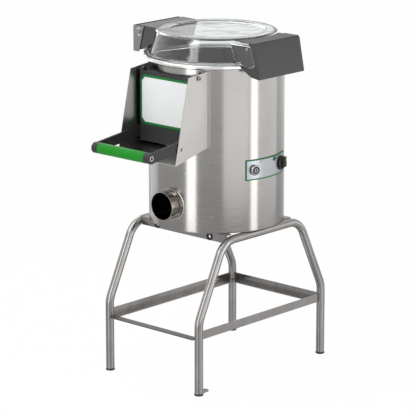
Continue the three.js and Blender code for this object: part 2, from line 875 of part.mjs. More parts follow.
function doorPanel(parent) {
  const width = [-doorHalfWidth, doorHalfWidth];
  const inner = doorHalfWidth - doorRim;
  const solid = block(width, [-doorFace, chuteBackY], [doorBottom, doorTop]);
  const hollow = block([-inner, inner], [doorSkin - doorFace, chuteBackY + overrun],
    [doorBottom + doorRim, doorTop - doorRim]);
  const sealBack = drumRadius + 2 * seatGap + doorSealThickness;
  const shell = cut(solid, hollow, drumCylinder(sealBack, drumBottom, drumTop));
  const pivot = [-doorPivotY, doorPivotZ];
  const ear = rod('x', doorEarRadius, inner, doorHalfWidth, pivot);
  const bore = rod('x', doorStudRadius + seatGap, -doorHalfWidth - overrun, doorHalfWidth + overrun, pivot);
  const backBore = block([-inner, inner], [-doorFace, -doorPivotY + doorEarRadius], [doorTop, drumTop]);
  piece(parent, 'door_panel', cut(join(shell, ear, mirrored(ear)), bore, backBore), castGrey);
}

function doorSeal(parent) {
  const inner = drumRadius + seatGap;
  const band = ring(inner, inner + doorSealThickness, doorBottom, doorTop, drumSides);
  const front = block([-doorHalfWidth, doorHalfWidth], [-drumRadius - overrun, 0], [doorBottom, doorTop]);
  const halfWindow = doorHalfWidth - doorSealWidth;
  const window = block([-halfWindow, halfWindow], [-drumRadius - overrun, 0],
    [doorBottom + doorSealWidth, doorTop - doorSealWidth]);
  piece(parent, 'door_seal', cut(common(band, front), window), rubber);
}

function chamferedPlate(inset) {
  const x = labelWidth / 2 - inset;
  const low = labelBottom + inset;
  const high = labelBottom + labelHeight - inset;
  const chamfer = labelChamfer - inset * (2 - Math.SQRT2);
  return [
    [-x + chamfer, low], [x - chamfer, low], [x, low + chamfer], [x, high - chamfer],
    [x - chamfer, high], [-x + chamfer, high], [-x, high - chamfer], [-x, low + chamfer],
  ];
}

function label(parent) {
  const back = -doorFace - seatGap;
  const front = back - labelThickness;
  const border = prism('y', chamferedPlate(0), front, back, [chamferedPlate(labelBorder)]);
  piece(parent, 'label_frame', border, greenPrint);
  const plate = prism('y', chamferedPlate(labelBorder + seatGap), front, back);
  piece(parent, 'label_plate', plate, palePlate);
}

function handleArm() {
  const inside = doorHalfWidth + seatGap;
  const heading = Math.atan2(gripZ - armBackZ, armBackY - gripY) / deg;
  const half = armHeight / 2;
  const outline = [
    ...arc(half, heading + 90, heading + 270, endSteps, [-armBackY, armBackZ]),
    ...arc(half, heading - 90, heading + 90, endSteps, [-gripY, gripZ]),
  ];
  const blade = prism('x', outline, inside, inside + armThickness);
  const centre = [-gripY, gripZ];
  const boss = rod('x', gripRadius, gripHalfLength + seatGap, bossHalfLength, centre, gripSides);
  const end = bossHalfLength + overrun;
  const bore = rod('x', handleRodRadius + seatGap, gripHalfLength - overrun, end, centre);
  const seat = rod('x', handleHeadRadius + seatGap, bossHalfLength - handleHeadHeight, end, centre);
  return cut(join(blade, boss), bore, seat);
}

function handleRod() {
  const centre = [-gripY, gripZ];
  const seat = bossHalfLength - handleHeadHeight + seatGap;
  const shank = rod('x', handleRodRadius, -seat, seat, centre);
  const head = rod('x', handleHeadRadius, seat, bossHalfLength, centre);
  const socket = hexSocket(bossHalfLength - hexDepth, bossHalfLength + overrun, centre);
  return cut(join(shank, head, mirrored(head)), socket, mirrored(socket));
}

function door(parent) {
  doorPanel(parent);
  doorSeal(parent);
  label(parent);
  piece(parent, 'handle_arm_right', handleArm(), castGrey);
  piece(parent, 'handle_arm_left', mirrored(handleArm()), castGrey);
  piece(parent, 'handle_rod', handleRod(), polished);
  const centre = [-gripY, gripZ];
  const grip = prism('x', circle(gripRadius, gripSides, centre), -gripHalfLength, gripHalfLength,
    [circle(handleRodRadius + seatGap, smallSides, centre)]);
  piece(parent, 'handle_grip', grip, greenPlastic);
}

// Peeling plate and drive

function rotated(geometry, turn) {
  return geometry.clone().rotateZ(turn);
}

function abrasivePlate(parent) {
  const top = plateBottom + plateThickness;
  const disc = ring(spindleStudRadius + seatGap, plateRadius, plateBottom, top, drumSides);
  const half = waveWidth / 2;
  const hump = Array.from({ length: waveSteps + 1 }, (_, i) => {
    const share = i / waveSteps;
    return [half - share * waveWidth, top + waveHeight * Math.sin(Math.PI * share)];
  });
  const wave = prism('x', [[half, top - seatGap], ...hump, [-half, top - seatGap]], waveInner, waveOuter);
  const vane = block([vaneInner, vaneOuter], [-vaneThickness / 2, vaneThickness / 2],
    [plateBottom - vaneDepth, plateBottom + seatGap]);
  const turns = Array.from({ length: waveCount }, (_, i) => (2 * Math.PI * i) / waveCount);
  const finsAt = (turn) => [rotated(wave, turn - Math.PI / 2), rotated(vane, turn + Math.PI / 2)];
  const fins = turns.flatMap(finsAt);
  piece(parent, 'abrasive_plate', join(disc, ...fins), abrasive);
}

function spindle(parent) {
  const flangeTop = plateBottom - seatGap;
  const nut = plateBottom + plateThickness + seatGap;
  const profile = [
    [0, spindleBottom], [spindleRadius, spindleBottom], [spindleRadius, flangeTop - spindleFlangeHeight],
    [spindleFlangeRadius, flangeTop - spindleFlangeHeight], [spindleFlangeRadius, flangeTop],
    [spindleStudRadius, flangeTop], [spindleStudRadius, nut], [spindleNutRadius, nut],
    [spindleNutRadius, nut + spindleNutHeight / 2], [spindleStudRadius, nut + spindleNutHeight],
    [0, nut + spindleNutHeight],
  ];
  piece(parent, 'spindle', turned(profile), steel);
}

const beltMiddle = pulleyBottom + pulleyHeight / 2;
const beltInset = grooveDepth / 2 - pulleyOverBelt / 2;

function grooveProfile(pitchRadius) {
  const rimR = pitchRadius + beltInset + pulleyOverBelt;
  const root = pitchRadius - beltInset - seatGap;
  const top = pulleyBottom + pulleyHeight;
  const halfRoot = beltHeight / 2 + seatGap;
  return [
    [rimR, pulleyBottom], [rimR, pulleyBottom + pulleyFlange], [root, beltMiddle - halfRoot],
    [root, beltMiddle + halfRoot], [rimR, top - pulleyFlange], [rimR, top],
  ];
}

function drivenPulley(parent) {
  const bore = spindleRadius + seatGap;
  const top = pulleyBottom + pulleyHeight;
  const groove = grooveProfile(drivenPitchRadius);
  const profile = [[bore, pulleyBottom], ...groove, [bore, top], [bore, pulleyBottom]];
  piece(parent, 'driven_pulley', turned(profile, pulleySides), steel);
}

function motorPulley(parent) {
  const top = pulleyBottom + pulleyHeight;
  const shaftBottom = motorTop - motorShaftInsert;
  const profile = [
    [0, shaftBottom], [motorShaftRadius, shaftBottom], [motorShaftRadius, pulleyBottom],
    ...grooveProfile(motorPitchRadius), [0, top],
  ];
  piece(parent, 'motor_pulley', turned(profile), steel).position.y = motorY;
}

// The outline of a belt round two circles, the larger at the drum's axis
function beltLoop(large, small, sides) {
  const lean = Math.asin((large - small) / motorY) / deg;
  const big = arc(large, 180 - lean, 360 + lean, sides);
  const little = arc(small, lean, 180 - lean, sides / 2, [0, motorY]);
  return [...big, ...little];
}

function belt(parent) {
  const outer = beltLoop(drivenPitchRadius + beltInset, motorPitchRadius + beltInset, beltSteps);
  const inner = beltLoop(drivenPitchRadius - beltInset, motorPitchRadius - beltInset, beltSteps);
  const half = beltHeight / 2;
  piece(parent, 'drive_belt', prism('z', outer, beltMiddle - half, beltMiddle + half, [inner]), rubber);
}

function bearings(parent) {
  const top = panFloor - seatGap;
  const housingBottom = top - housingHeight;
  const bore = bearingRadius + seatGap;
  const profile = [
    [bore, housingBottom], [housingRadius, housingBottom], [housingRadius, top - housingFlangeHeight],
    [housingFlangeRadius, top - housingFlangeHeight], [housingFlangeRadius, top],
    [bore, top], [bore, housingBottom],
  ];
  piece(parent, 'bearing_housing', turned(profile), castGrey);
  const shaft = spindleRadius + seatGap;
  const low = housingBottom + bearingInset;
  const high = top - bearingInset - bearingHeight;
  piece(parent, 'lower_bearing', ring(shaft, bearingRadius, low, low + bearingHeight), polished);
  piece(parent, 'upper_bearing', ring(shaft, bearingRadius, high, high + bearingHeight), polished);
}

function motor(parent) {
  const bottom = drumBottom + baseSheet + seatGap;
  const half = motorFlange / 2;
  const flange = block([-half, half], [-half, half], [bottom, bottom + motorFlangeHeight]);
  const shaftHole = motorShaftRadius + seatGap;
  const holeBottom = motorTop - motorShaftInsert - seatGap;
  const profile = [
    [0, bottom], [motorRadius, bottom], [motorRadius, motorTop - motorBell],
    [motorRadius - motorBell, motorTop], [shaftHole, motorTop], [shaftHole, holeBottom], [0, holeBottom],
  ];
  piece(parent, 'motor', join(flange, turned(profile)), motorPaint).position.y = motorY;
}

// Control panel

const panelBack = drumRadius + seatGap;

function panelSector(inset, inner, outer) {
  const turn = inset / drumRadius / deg;
  return ringSector(inner, outer, panelFromDeg + turn, panelToDeg - turn,
    panelBottom + inset, panelBottom + panelHeight - inset, panelSteps);
}

function panel(parent) {
  const front = panelBack + panelThickness;
  const window = panelSector(panelBorder, panelBack - overrun, front + overrun);
  piece(parent, 'panel_frame', cut(panelSector(0, panelBack, front), window), greenPrint);
  const plate = cut(panelSector(panelBorder + seatGap, panelBack, front),
    holeInDrum(buttonDeg, buttonZ, buttonBarrelRadius),
    holeInDrum(knobDeg, knobZ, knobSpindleRadius),
    holeInDrum(lampDeg, lampZ, lampStemRadius));
  piece(parent, 'panel_plate', plate, palePlate);
}

const panelSeat = 2 * seatGap + panelThickness;

function buttonBezel() {
  const bore = buttonRadius + buttonClearance;
  const top = panelSeat + buttonBezelHeight;
  return turned([
    [0, -buttonBarrelDepth], [buttonBarrelRadius, -buttonBarrelDepth], [buttonBarrelRadius, panelSeat],
    [buttonBezelRadius, panelSeat], [buttonBezelRadius, top - buttonRound],
    [buttonBezelRadius - buttonRound, top],
    [bore, top], [bore, -buttonFloor], [0, -buttonFloor],
  ]);
}

function buttonCap() {
  return turned([
    [0, -buttonBack], [buttonRadius, -buttonBack], [buttonRadius, buttonStandout - buttonRound],
    [buttonRadius - buttonRound, buttonStandout], [0, buttonStandout],
  ]);
}

const knobTop = panelSeat + knobSkirt;

function knobBody() {
  const skirt = turned([
    [0, -knobSpindleDepth], [knobSpindleRadius, -knobSpindleDepth], [knobSpindleRadius, panelSeat],
    [knobRadius, panelSeat], [knobRadius, knobTop - knobRound],
    [knobRadius - knobRound, knobTop], [0, knobTop],
  ]);
  const reach = knobRadius - knobRound;
  const half = knobBarWidth / 2;
  const top = knobTop + knobBarHeight;
  const side = [
    [half, knobTop - seatGap], [half, top - knobRound], [half - knobRound, top],
    [knobRound - half, top], [-half, top - knobRound], [-half, knobTop - seatGap],
  ];
  return join(skirt, prism('y', side, -reach, reach));
}

function knobPointer() {
  const reach = knobRadius - 2 * knobRound;
  const bottom = knobTop + knobBarHeight + seatGap;
  const half = pointerWidth / 2;
  return block([-half, half], [reach - pointerLength, reach], [bottom, bottom + pointerHeight]);
}

function lamp() {
  return turned([
    [0, -lampStemDepth], [lampStemRadius, -lampStemDepth], [lampStemRadius, panelSeat],
    [lampRadius, panelSeat], [lampRadius, panelSeat + lampHeight / 2],
    [lampStemRadius, panelSeat + lampHeight], [0, panelSeat + lampHeight],
  ], smallSides);
}

function controls(parent) {
  panel(parent);
  const atButton = onDrum(buttonDeg, buttonZ);
  const atKnob = onDrum(knobDeg, knobZ);
  piece(parent, 'button_bezel', buttonBezel(), polished).applyMatrix4(atButton);
  piece(parent, 'push_button', buttonCap(), blackPlastic).applyMatrix4(atButton);
  piece(parent, 'timer_knob', knobBody(), blackPlastic).applyMatrix4(atKnob);
  piece(parent, 'knob_pointer', knobPointer(), cream).applyMatrix4(atKnob);
  piece(parent, 'panel_lamp', lamp(), cream).applyMatrix4(onDrum(lampDeg, lampZ));
}

// Rear connections

function waterInlet(parent) {
  const barbs = Array.from({ length: inletBarbs }, (_, i) => {
    const step = (inletOutside - inletFlangeHeight - seatGap) / inletBarbs;
    const z = inletFlangeHeight + seatGap + i * step;
    const crest = inletPipeRadius + inletBarb;
    return [[inletPipeRadius, z], [inletPipeRadius, z + step / 2], [crest, z + step / 2]];
  }).flat();
  const profile = [
    [inletBore, -inletInside], [inletPipeRadius, -inletInside], [inletPipeRadius, seatGap],
    [inletFlangeRadius, seatGap], [inletFlangeRadius, inletFlangeHeight + seatGap],
    ...barbs, [inletPipeRadius, inletOutside], [inletBore, inletOutside], [inletBore, -inletInside],
  ];
  piece(parent, 'water_inlet', turned(profile, smallSides), polished).applyMatrix4(onDrum(inletDeg, inletZ));
}

function cableGland(parent) {
  const profile = [
    [0, -glandStemDepth], [glandStemRadius, -glandStemDepth], [glandStemRadius, seatGap],
    [glandNutRadius, seatGap], [glandNutRadius, seatGap + glandNutHeight],
    [glandDomeRadius, seatGap + glandNutHeight], [glandDomeRadius, (glandNutHeight + glandLength) / 2],
    [glandStemRadius, glandLength], [glandMouthRadius, glandLength],
    [glandMouthRadius, glandLength - glandMouthDepth], [0, glandLength - glandMouthDepth],
  ];
  const gland = piece(parent, 'cable_gland', turned(profile, smallSides), blackPlastic);
  gland.applyMatrix4(onDrum(glandDeg, glandZ));
}

// Lid

const lidBottom = rimTop + 2 * seatGap + gasketHeight;

// The lid's outer profile from its flange to the axis, grown sideways and upwards
function lidOutside(grow) {
  const top = lidTop + grow;
  const flangeTop = lidBottom + lidFlangeThickness + grow;
  return [
    [rimRadius + grow, lidBottom], [rimRadius + grow, flangeTop], [lidBaseRadius + grow, flangeTop],
    [lidShoulderRadius + grow, top - lidShoulderDrop], [lidTopRadius + grow, top],
  ];
}

function lidDome(parent) {
  const recess = lidTop - lidRecessDepth;
  const under = lidTop - lidWall;
  const slope = lidRecessRadius - lidRecessSlope;
  const profile = [
    [0, recess - lidWall], [slope + lidWall / 2, recess - lidWall], [lidRecessRadius + lidWall / 2, under],
    [lidTopRadius - lidWall, under], [lidBaseRadius - lidWall, lidBottom],
    ...lidOutside(0), [lidRecessRadius, lidTop], [slope, recess], [0, recess],
  ];
  piece(parent, 'lid_dome', turned(profile, drumSides), clear);
}

function lidEnvelope() {
  return turned([[0, lidBottom], ...lidOutside(seatGap), [0, lidTop + seatGap]], drumSides);
}

function around(x, points) {
  return points.map(([u, w]) => [x + u, pivotZ + w]);
}

// The lid's end plates and cover on the hinge side turn inside the bracket about the bolt
function hingeLug() {
  const swing = pivotZ - rimTop - hingeSwingGap;
  const knuckle = arc(knuckleRadius, 90, knuckleEndDeg, knuckleSteps);
  const skirt = arc(swing, swingFromDeg, swingToDeg, knuckleSteps);
  const plateOutline = around(hingeX, [
    [lugInnerReach, lugTop], ...knuckle, ...skirt, [lugInnerReach, -knuckleRadius],
  ]);
  const front = cheekFront + hingeSheet + cheekGap;
  const rear = cheekRear - hingeSheet - cheekGap;
  const inside = knuckleRadius - lugWall;
  const coverOutline = around(hingeX, [
    [lugInnerReach, lugTop], ...arc(knuckleRadius, 90, 180, knuckleSteps),
    [-knuckleRadius, -hingeCoverDrop], [-inside, -hingeCoverDrop],
    ...arc(inside, 180, 90, knuckleSteps), [lugInnerReach, lugTop - lugWall],
  ]);
  const frontPlate = prism('y', plateOutline, front, front + hingePlateThickness);
  const rearPlate = prism('y', plateOutline, rear - hingePlateThickness, rear);
  const cover = prism('y', coverOutline, front, rear);
  const bore = rod('y', pivotBoltRadius + seatGap, front - overrun, rear + overrun, [hingeX, pivotZ]);
  return cut(join(frontPlate, rearPlate, cover), bore, lidEnvelope());
}

function hingeCheek(from) {
  const left = hingeWallX;
  const outline = [
    ...arc(hingeCorner, 180, 270, cornerSteps, [left + hingeCorner, hingeBottom + hingeCorner]),
    [left + hingeBottomReach, hingeBottom], [left + hingeTopReach, hingeTop], [left, hingeTop],
  ];
  const bolt = circle(pivotBoltRadius + seatGap, smallSides, [hingeX, pivotZ]);
  return prism('y', outline, from, from + hingeSheet, [bolt]);
}

function hingeBracket() {
  const wallX = [hingeWallX, hingeWallX + hingeSheet];
  const wall = block(wallX, [cheekFront, cheekRear], [hingeBottom, hingeTop]);
  const footWidth = [-hingeFootHalfWidth, hingeFootHalfWidth];
  const shelfBottom = hingeShelfTop - hingeShelfSheet;
  const tail = block(wallX, footWidth, [shelfBottom, hingeBottom + hingeSheet]);
  const shelf = block([hingeWallX, -drumInner], footWidth, [shelfBottom, hingeShelfTop]);
  const footAngle = Math.asin(hingeFootHalfWidth / drumRadius) / deg;
  const saddle = ringSector(drumRadius + seatGap, drumRadius + seatGap + hingeShelfSheet,
    270 - footAngle, 270 + footAngle, hingeFootBottom, hingeFootTop, endSteps);
  const drumSide = drumCylinder(drumRadius + seatGap, drumBottom, drumTop);
  const cheeks = [hingeCheek(cheekFront), hingeCheek(cheekRear - hingeSheet)];
  return join(wall, ...cheeks, tail, cut(shelf, drumSide), saddle);
}

function hingeBolt() {
  const centre = [hingeX, pivotZ];
  const front = cheekFront - seatGap;
  const rear = cheekRear + seatGap;
  const shank = rod('y', pivotBoltRadius, front - seatGap, rear + seatGap, centre);
  const head = rod('y', boltHeadRadius, front - boltHeadHeight, front, centre, hexSides);
  const nut = rod('y', boltHeadRadius, rear, rear + boltHeadHeight, centre, hexSides);
  return join(shank, head, nut);
}

// The seam between the lid's catch plate and the cover: a slanted line down to an arc about the pin
function seamOutline(grow, top, farReach) {
  const slope = Math.tan(seamPitchDeg * deg);
  const radius = catchSwing + grow;
  const start = seamX + grow / Math.cos(seamPitchDeg * deg);
  const atPin = start + seamTop * slope;
  const root = Math.sqrt((atPin * slope) ** 2 - (1 + slope ** 2) * (atPin ** 2 - radius ** 2));
  const foot = (atPin * slope - root) / (1 + slope ** 2);
  const footDeg = Math.atan2(foot, atPin - slope * foot) / deg;
  return [
    [-farReach, top], [start + (seamTop - Math.min(top, seamTop)) * slope, top], [start, seamTop - seatGap],
    ...arc(radius, footDeg, seamEndDeg, endSteps), [-farReach, -catchLugDrop],
  ];
}

function catchLug() {
  const outline = around(catchX, seamOutline(0, seamTop, lugInnerReach));
  const solid = prism('y', outline, cheekFront, cheekRear);
  const middle = [cheekFront + catchPlateThickness, cheekRear - catchPlateThickness];
  const webEdge = catchX - catchWebReach;
  const hollow = block([webEdge, catchX + catchSwing], middle, [drumTop, lidTop]);
  const inner = catchX - catchSwing - lugInnerReach;
  const pin = catchPinRadius + seatGap;
  const above = block([inner, catchX], middle, [catchWebTop, lidTop + overrun]);
  const bore = rod('y', pin, cheekFront - overrun, cheekRear + overrun, [catchX, pivotZ]);
  const rimSpace = drumCylinder(rimRadius + catchRimGap, drumBottom, lidBottom);
  return cut(solid, hollow, above, bore, rimSpace, lidEnvelope());
}

function catchPin() {
  const centre = [catchX, pivotZ];
  const front = cheekFront - seatGap;
  const rear = cheekRear + seatGap;
  const shank = rod('y', catchPinRadius, front - seatGap, rear + seatGap, centre);
  const head = rod('y', catchRivetRadius, front - catchRivetHeight, front, centre);
  const tail = rod('y', catchRivetRadius, rear, rear + catchRivetHeight, centre);
  return join(shank, head, tail);
}

function catchShell() {
  const outside = around(catchX, [
    [-catchTopReach, catchTop], [catchCornerX, catchTop],
    [catchCornerX + catchCornerDrop, catchTop - catchCornerDrop], [catchBottomX, -catchBottomZ],
    [catchBottomX - catchWall, -catchBottomZ - catchWall], [catchSkirtX, -catchSkirtZ],
    [-catchToeX, -catchToeZ], [-catchToeX, catchToeHeight - catchToeZ], [-catchTopReach, catchToeHeight],
  ]);
  const far = -lugInnerReach;
  const inside = around(catchX, [
    [far, catchTop - catchWall], [catchCornerX - catchWall / 2, catchTop - catchWall],
    [catchCornerX + catchCornerDrop - catchWall, catchTop - catchCornerDrop - catchWall / 2],
    [catchBottomX - catchWall, catchWall - catchBottomZ], [catchSkirtX, catchWall - catchSkirtZ],
    [-catchToeX, catchWall - catchToeZ], [far, catchWall - catchToeZ],
  ]);
  const outer = prism('y', outside, cheekFront, cheekRear);
  const hollow = prism('y', inside, cheekFront + catchWall, cheekRear - catchWall);
  const window = prism('y', around(catchX, seamOutline(seamGap, catchTop - catchWall, lugInnerReach)),
    cheekFront - overrun, cheekRear + overrun);
  const flangeTop = lidBottom + lidFlangeThickness;
  const rimSpace = drumCylinder(rimRadius + catchRimGap, drumBottom, flangeTop + catchRimGap);
  return cut(outer, hollow, window, rimSpace);
}

function catchTopPlate() {
  const inset = catchPlateThickness + seamGap;
  const top = pivotZ + catchTop;
  const plate = block([catchX - lugInnerReach, catchX + catchCornerX],
    [cheekFront + inset, cheekRear - inset], [top - catchWall, top]);
  return cut(plate, drumCylinder(lidShoulderRadius + catchLidGap, drumTop, lidTop + overrun));
}

function catchRib(from) {
  const outline = around(catchX, [
    ...arc(catchRibRadius, 90, 270, endSteps), [catchRibReach - catchRibRadius, -catchRibDrop],
    [catchRibReach, -catchRibDrop], [catchCornerX + catchWall, catchTop - catchCornerDrop - catchWall / 2],
    [catchCornerX, catchTop - catchWall / 2], [0, catchTop - catchWall / 2],
  ]);
  return prism('y', outline, from, from + catchRibThickness,
    [circle(catchPinRadius + seatGap, smallSides, [catchX, pivotZ])]);
}

function catchCover() {
  const front = cheekFront + catchRibInset;
  const rear = cheekRear - catchRibInset - catchRibThickness;
  return join(catchShell(), catchTopPlate(), catchRib(front), catchRib(rear));
}

function lid(parent) {
  lidDome(parent);
  piece(parent, 'hinge_bracket', hingeBracket(), steel);
  piece(parent, 'hinge_bolt', hingeBolt(), polished);
  piece(parent, 'lid_lug_left', hingeLug(), darkPlastic);
  piece(parent, 'lid_lug_right', catchLug(), darkPlastic);
  piece(parent, 'latch_pin', catchPin(), polished);
  piece(parent, 'latch_cover', catchCover(), darkPlastic);
}

const machine = new THREE.Group();
stand(machine);
drum(machine);
outlet(machine);
chute(machine);
door(machine);
abrasivePlate(machine);
spindle(machine);
drivenPulley(machine);
motorPulley(machine);
belt(machine);
bearings(machine);
motor(machine);
controls(machine);
waterInlet(machine);
cableGland(machine);
lid(machine);

// The origin is the centre of the part's footprint, at floor level
const bounds = new THREE.Box3().setFromObject(machine);
const middle = bounds.getCenter(new THREE.Vector3());
machine.position.set(-middle.x, -middle.y, -bounds.min.z);

const potatoPeeler = new THREE.Group();
potatoPeeler.add(machine);

export default potatoPeeler;
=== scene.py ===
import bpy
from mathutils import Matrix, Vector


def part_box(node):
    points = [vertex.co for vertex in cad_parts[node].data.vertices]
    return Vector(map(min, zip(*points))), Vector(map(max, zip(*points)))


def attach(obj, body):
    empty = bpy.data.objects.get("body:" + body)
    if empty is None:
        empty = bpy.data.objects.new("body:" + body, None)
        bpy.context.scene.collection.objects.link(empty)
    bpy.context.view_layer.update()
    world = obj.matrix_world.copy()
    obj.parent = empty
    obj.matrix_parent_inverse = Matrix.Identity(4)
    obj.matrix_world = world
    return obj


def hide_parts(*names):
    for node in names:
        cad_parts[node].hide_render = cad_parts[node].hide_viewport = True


bl_info = {
    "name": "Electric Potato Peeler",
    "version": (1, 0, 0),
    "blender": (4, 5, 0),
    "location": "3D View > Sidebar > Peeler",
    "description": "Dresses a floor-standing electric potato peeler on its packed frame",
    "category": "Add Mesh",
}

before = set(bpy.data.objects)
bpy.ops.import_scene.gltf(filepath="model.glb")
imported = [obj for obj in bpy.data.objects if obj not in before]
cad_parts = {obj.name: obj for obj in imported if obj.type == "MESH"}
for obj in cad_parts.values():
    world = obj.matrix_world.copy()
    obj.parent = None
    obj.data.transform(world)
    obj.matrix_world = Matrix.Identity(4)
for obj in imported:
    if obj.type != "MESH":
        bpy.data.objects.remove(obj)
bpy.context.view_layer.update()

import math

import bmesh
import bpy
from mathutils import Matrix, Vector

# Every shape below is drawn in millimetres about the drum's axis, front towards -Y, and is
# carried to metres and to the row's own origin by TO_ROW.
MM = 0.001
shell_low, shell_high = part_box("drum_shell")
drum_axis = (shell_low + shell_high) / 2
TO_ROW = Matrix.Translation((drum_axis.x, drum_axis.y, 0)) @ Matrix.Scale(MM, 4)
LAYINGS = {
    "z": Matrix.Identity(4),
    "y": Matrix(((1, 0, 0, 0), (0, 0, 1, 0), (0, 1, 0, 0), (0, 0, 0, 1))),
    "x": Matrix(((0, 0, 1, 0), (1, 0, 0, 0), (0, 1, 0, 0), (0, 0, 0, 1))),
}

# Gap between faces that meet, and how far a cutter runs past what it cuts
SEAT_GAP = 0.3
OVERRUN = 20

# Angles that count as straight, sharp and flat, and the share of an edge that a rounding may take
STRAIGHT = math.radians(176)
SHARP = math.radians(40)
FLAT = math.radians(1)
CORNER_SHARE = 0.46

# Drum and rim
DRUM_SHEET = 1.5
DRUM_BOTTOM = 450
DRUM_TOP = 932
BASE_SHEET = 2
BASE_RING = 18
RIM_RADIUS = 213
RIM_HEIGHT = 12
RIM_EDGE = 4.5
RIM_LIP_RADIUS = 196
RIM_LIP_DEPTH = 6
RIM_TUCK = 2
GASKET = ((197, 944.3), (203, 944.3), (203, 946), (197, 946))
DOOR_HOLE = ((-92, 92), (714, 896))
DIMPLE = ((0, -0.6), (3, -0.6), (3, 0.2), (0, 1.3))
DIMPLE_PLACES = ((38.6, 656), (38.6, 498))
DIMPLE_STRETCH = 2.4
DIMPLE_FACETS = 32

# Stand
LEG_X = 179
LEG_Y = 273
SHOULDER_Y = 167
KNEE_HEIGHT = 218
KNEE_RADIUS = 80
SHOULDER_RADIUS = 70
FOOT_RADIUS = 13.5
FOOT_HEIGHT = 6
TUBE_WALL = 1.5
GROMMET = ((5.4, 0), (11, 0), (11, 2), (8.2, 2), (8.2, 6.5), (5.4, 6.5))
GROMMET_PLACE = (104, 435.7)
GROMMET_FACE = 147.3

# Waste outlet
OUTLET_RADIUS = 42.5
OUTLET_WALL = 2
OUTLET_Z = 525
OUTLET_REACH = 237
OUTLET_DROP_Y = 128
OUTLET_BEND = 52
OUTLET_LIP = 0.8
COLLAR_RADIUS = 49
COLLAR_FROM = -206
COLLAR_TO = -176
BEAD_RADIUS = 1.6
BEAD_PROUD = 0.6
BEAD_STEPS = 96
PAN_FLOOR = 666

# Door and handle
DOOR_FACE = 215
LABEL_WIDTH = 204
LABEL_HEIGHT = 146
LABEL_BOTTOM = 754
LABEL_CHAMFER = 16
LABEL_THICKNESS = 1.2
LABEL_EDGE = 0.25
GRIP_Y = 393.5
GRIP_Z = 710
GRIP_HALF_LENGTH = 91
BOSS_HALF_LENGTH = 112
ROD_RADIUS = 6
ROD_HEAD_RADIUS = 8
ROD_HEAD_HEIGHT = 4
HEX_RADIUS = 4.5
HEX_DEPTH = 6

# Controls: angles run from the front (-Y) towards +X
PANEL_FROM = 66.8
PANEL_TO = 118.2
PANEL_BOTTOM = 602
PANEL_HEIGHT = 61
PANEL_THICKNESS = 1.8
PANEL_STEPS = 48
PANEL_SEAT = 2 * SEAT_GAP + PANEL_THICKNESS
BUTTON_PLACE = (75, 632)
BEZEL_TOP = PANEL_SEAT + 9
BUTTON_FACE = 13
BUTTON_GAP = 0.4
KNOB_PLACE = (110, 633)
KNOB_SHAFT = 4
KNOB_SKIRT_TOP = PANEL_SEAT + 6
KNOB_CROWN = KNOB_SKIRT_TOP + 12
KNOB_BAR_HALF = 4.5
LAMP_PLACE = (82.5, 653)
LAMP_TOP = PANEL_SEAT + 2.6
LAMP = ((0, -8), (3, -8), (3, PANEL_SEAT), (4.2, PANEL_SEAT), (4.2, PANEL_SEAT + 1.2),
        (2.6, LAMP_TOP), (0, LAMP_TOP))
MARK_PLACE = (98.6, 652.5)
MARK = ((0, -8), (9.5, 0), (0, 8), (-9.5, 0))
MARK_DEPTH = (PANEL_THICKNESS - 0.4, PANEL_SEAT + 0.2)
PANEL_HOLES = ((BUTTON_PLACE, 13), (KNOB_PLACE, KNOB_SHAFT), (LAMP_PLACE, 3))

# Rear connections
INLET_PLACE = (180, 888)
INLET_BARBS = tuple(9.5 + 7.6 * k for k in range(4))
GLAND_PLACE = (163, 555)
GLAND = ((0, -12), (8, -12), (8, 0.3), (12, 0.3), (12, 7.3), (9.2, 7.3), (9.2, 14.5), (7.6, 22),
         (4, 22), (4, 16), (0, 16))
REAR_HOLES = ((INLET_PLACE, 8), (GLAND_PLACE, 8))

# Lid
LID_BOTTOM = 946.3
LID_TOP = 1015
LID_PROFILE = (
    (0, 1007), (139.5, 1007), (144.5, 1012), (169, 1012), (191, LID_BOTTOM), (213, LID_BOTTOM),
    (213, 950), (194, 950), (178, 1012), (172, LID_TOP), (143, LID_TOP), (138, 1010), (0, 1010),
)
BOLT_HEAD_HEIGHT = 6
WASHER_RADIUS = 12
WASHER_THICKNESS = 1.6
WASHER_GAP = 0.1

# The camera stands where the photograph's did
CAMERA_PLACE = Vector((4.6668, -5.1177, 2.2422))
CAMERA_AIM = Vector((-0.0305, 0.0447, 0.476))
CAMERA_LENS = 209.94
CAMERA_SENSOR = 36
CAMERA_REACH = 200

# Floor and surroundings, in metres: what steel mirrors of the floor is painted darker near the drum
# and grows brighter away from it, as painted shade in the reflections, and a sheen close by darkens
# the foot of the drum and the legs
FLOOR_HALF = 30
FLOOR_GLOW_REACH = 4.4
FLOOR_GLOW = (0.32, 1.05)
SHEEN_REACH = (1.1, 1.9)
SHEEN_SHARE = 0.45
SHEEN_ROUGHNESS = 0.15
FLOOR_WHITE = 0.975
WORLD_LIGHT = 0.55
WORLD_MIRRORED = 0.9
WORLD_SEEN = 1.0


def on_axis(z):
    return drum_axis.x, drum_axis.y, z


# Name, azimuth in degrees, distance, height, width, length, watts and aim
LAMPS = (
    ("front_strip", -89, 1.7, 1.15, 0.5, 2.3, 11.5, on_axis(1.15)),
    ("side_strip", 17.5, 1.7, 0.75, 0.42, 1.5, 6, on_axis(0.7)),
    ("soft_box", -14.6, 1.7, 0.67, 1.33, 1.1, 4.4, on_axis(0.7)),
    ("right_box", 49, 1.9, 0.56, 1.5, 1.1, 3.6, on_axis(0.56)),
    ("rear_strip", 181, 1.7, 0.4, 0.95, 0.85, 1.35, on_axis(0.4)),
    ("rear_high", 155, 1.7, 1.8, 0.6, 1.5, 6, on_axis(1.2)),
    ("overhead", -120, 1.6, 3.0, 2.4, 2.4, 43, (0, 0, 0.6)),
)


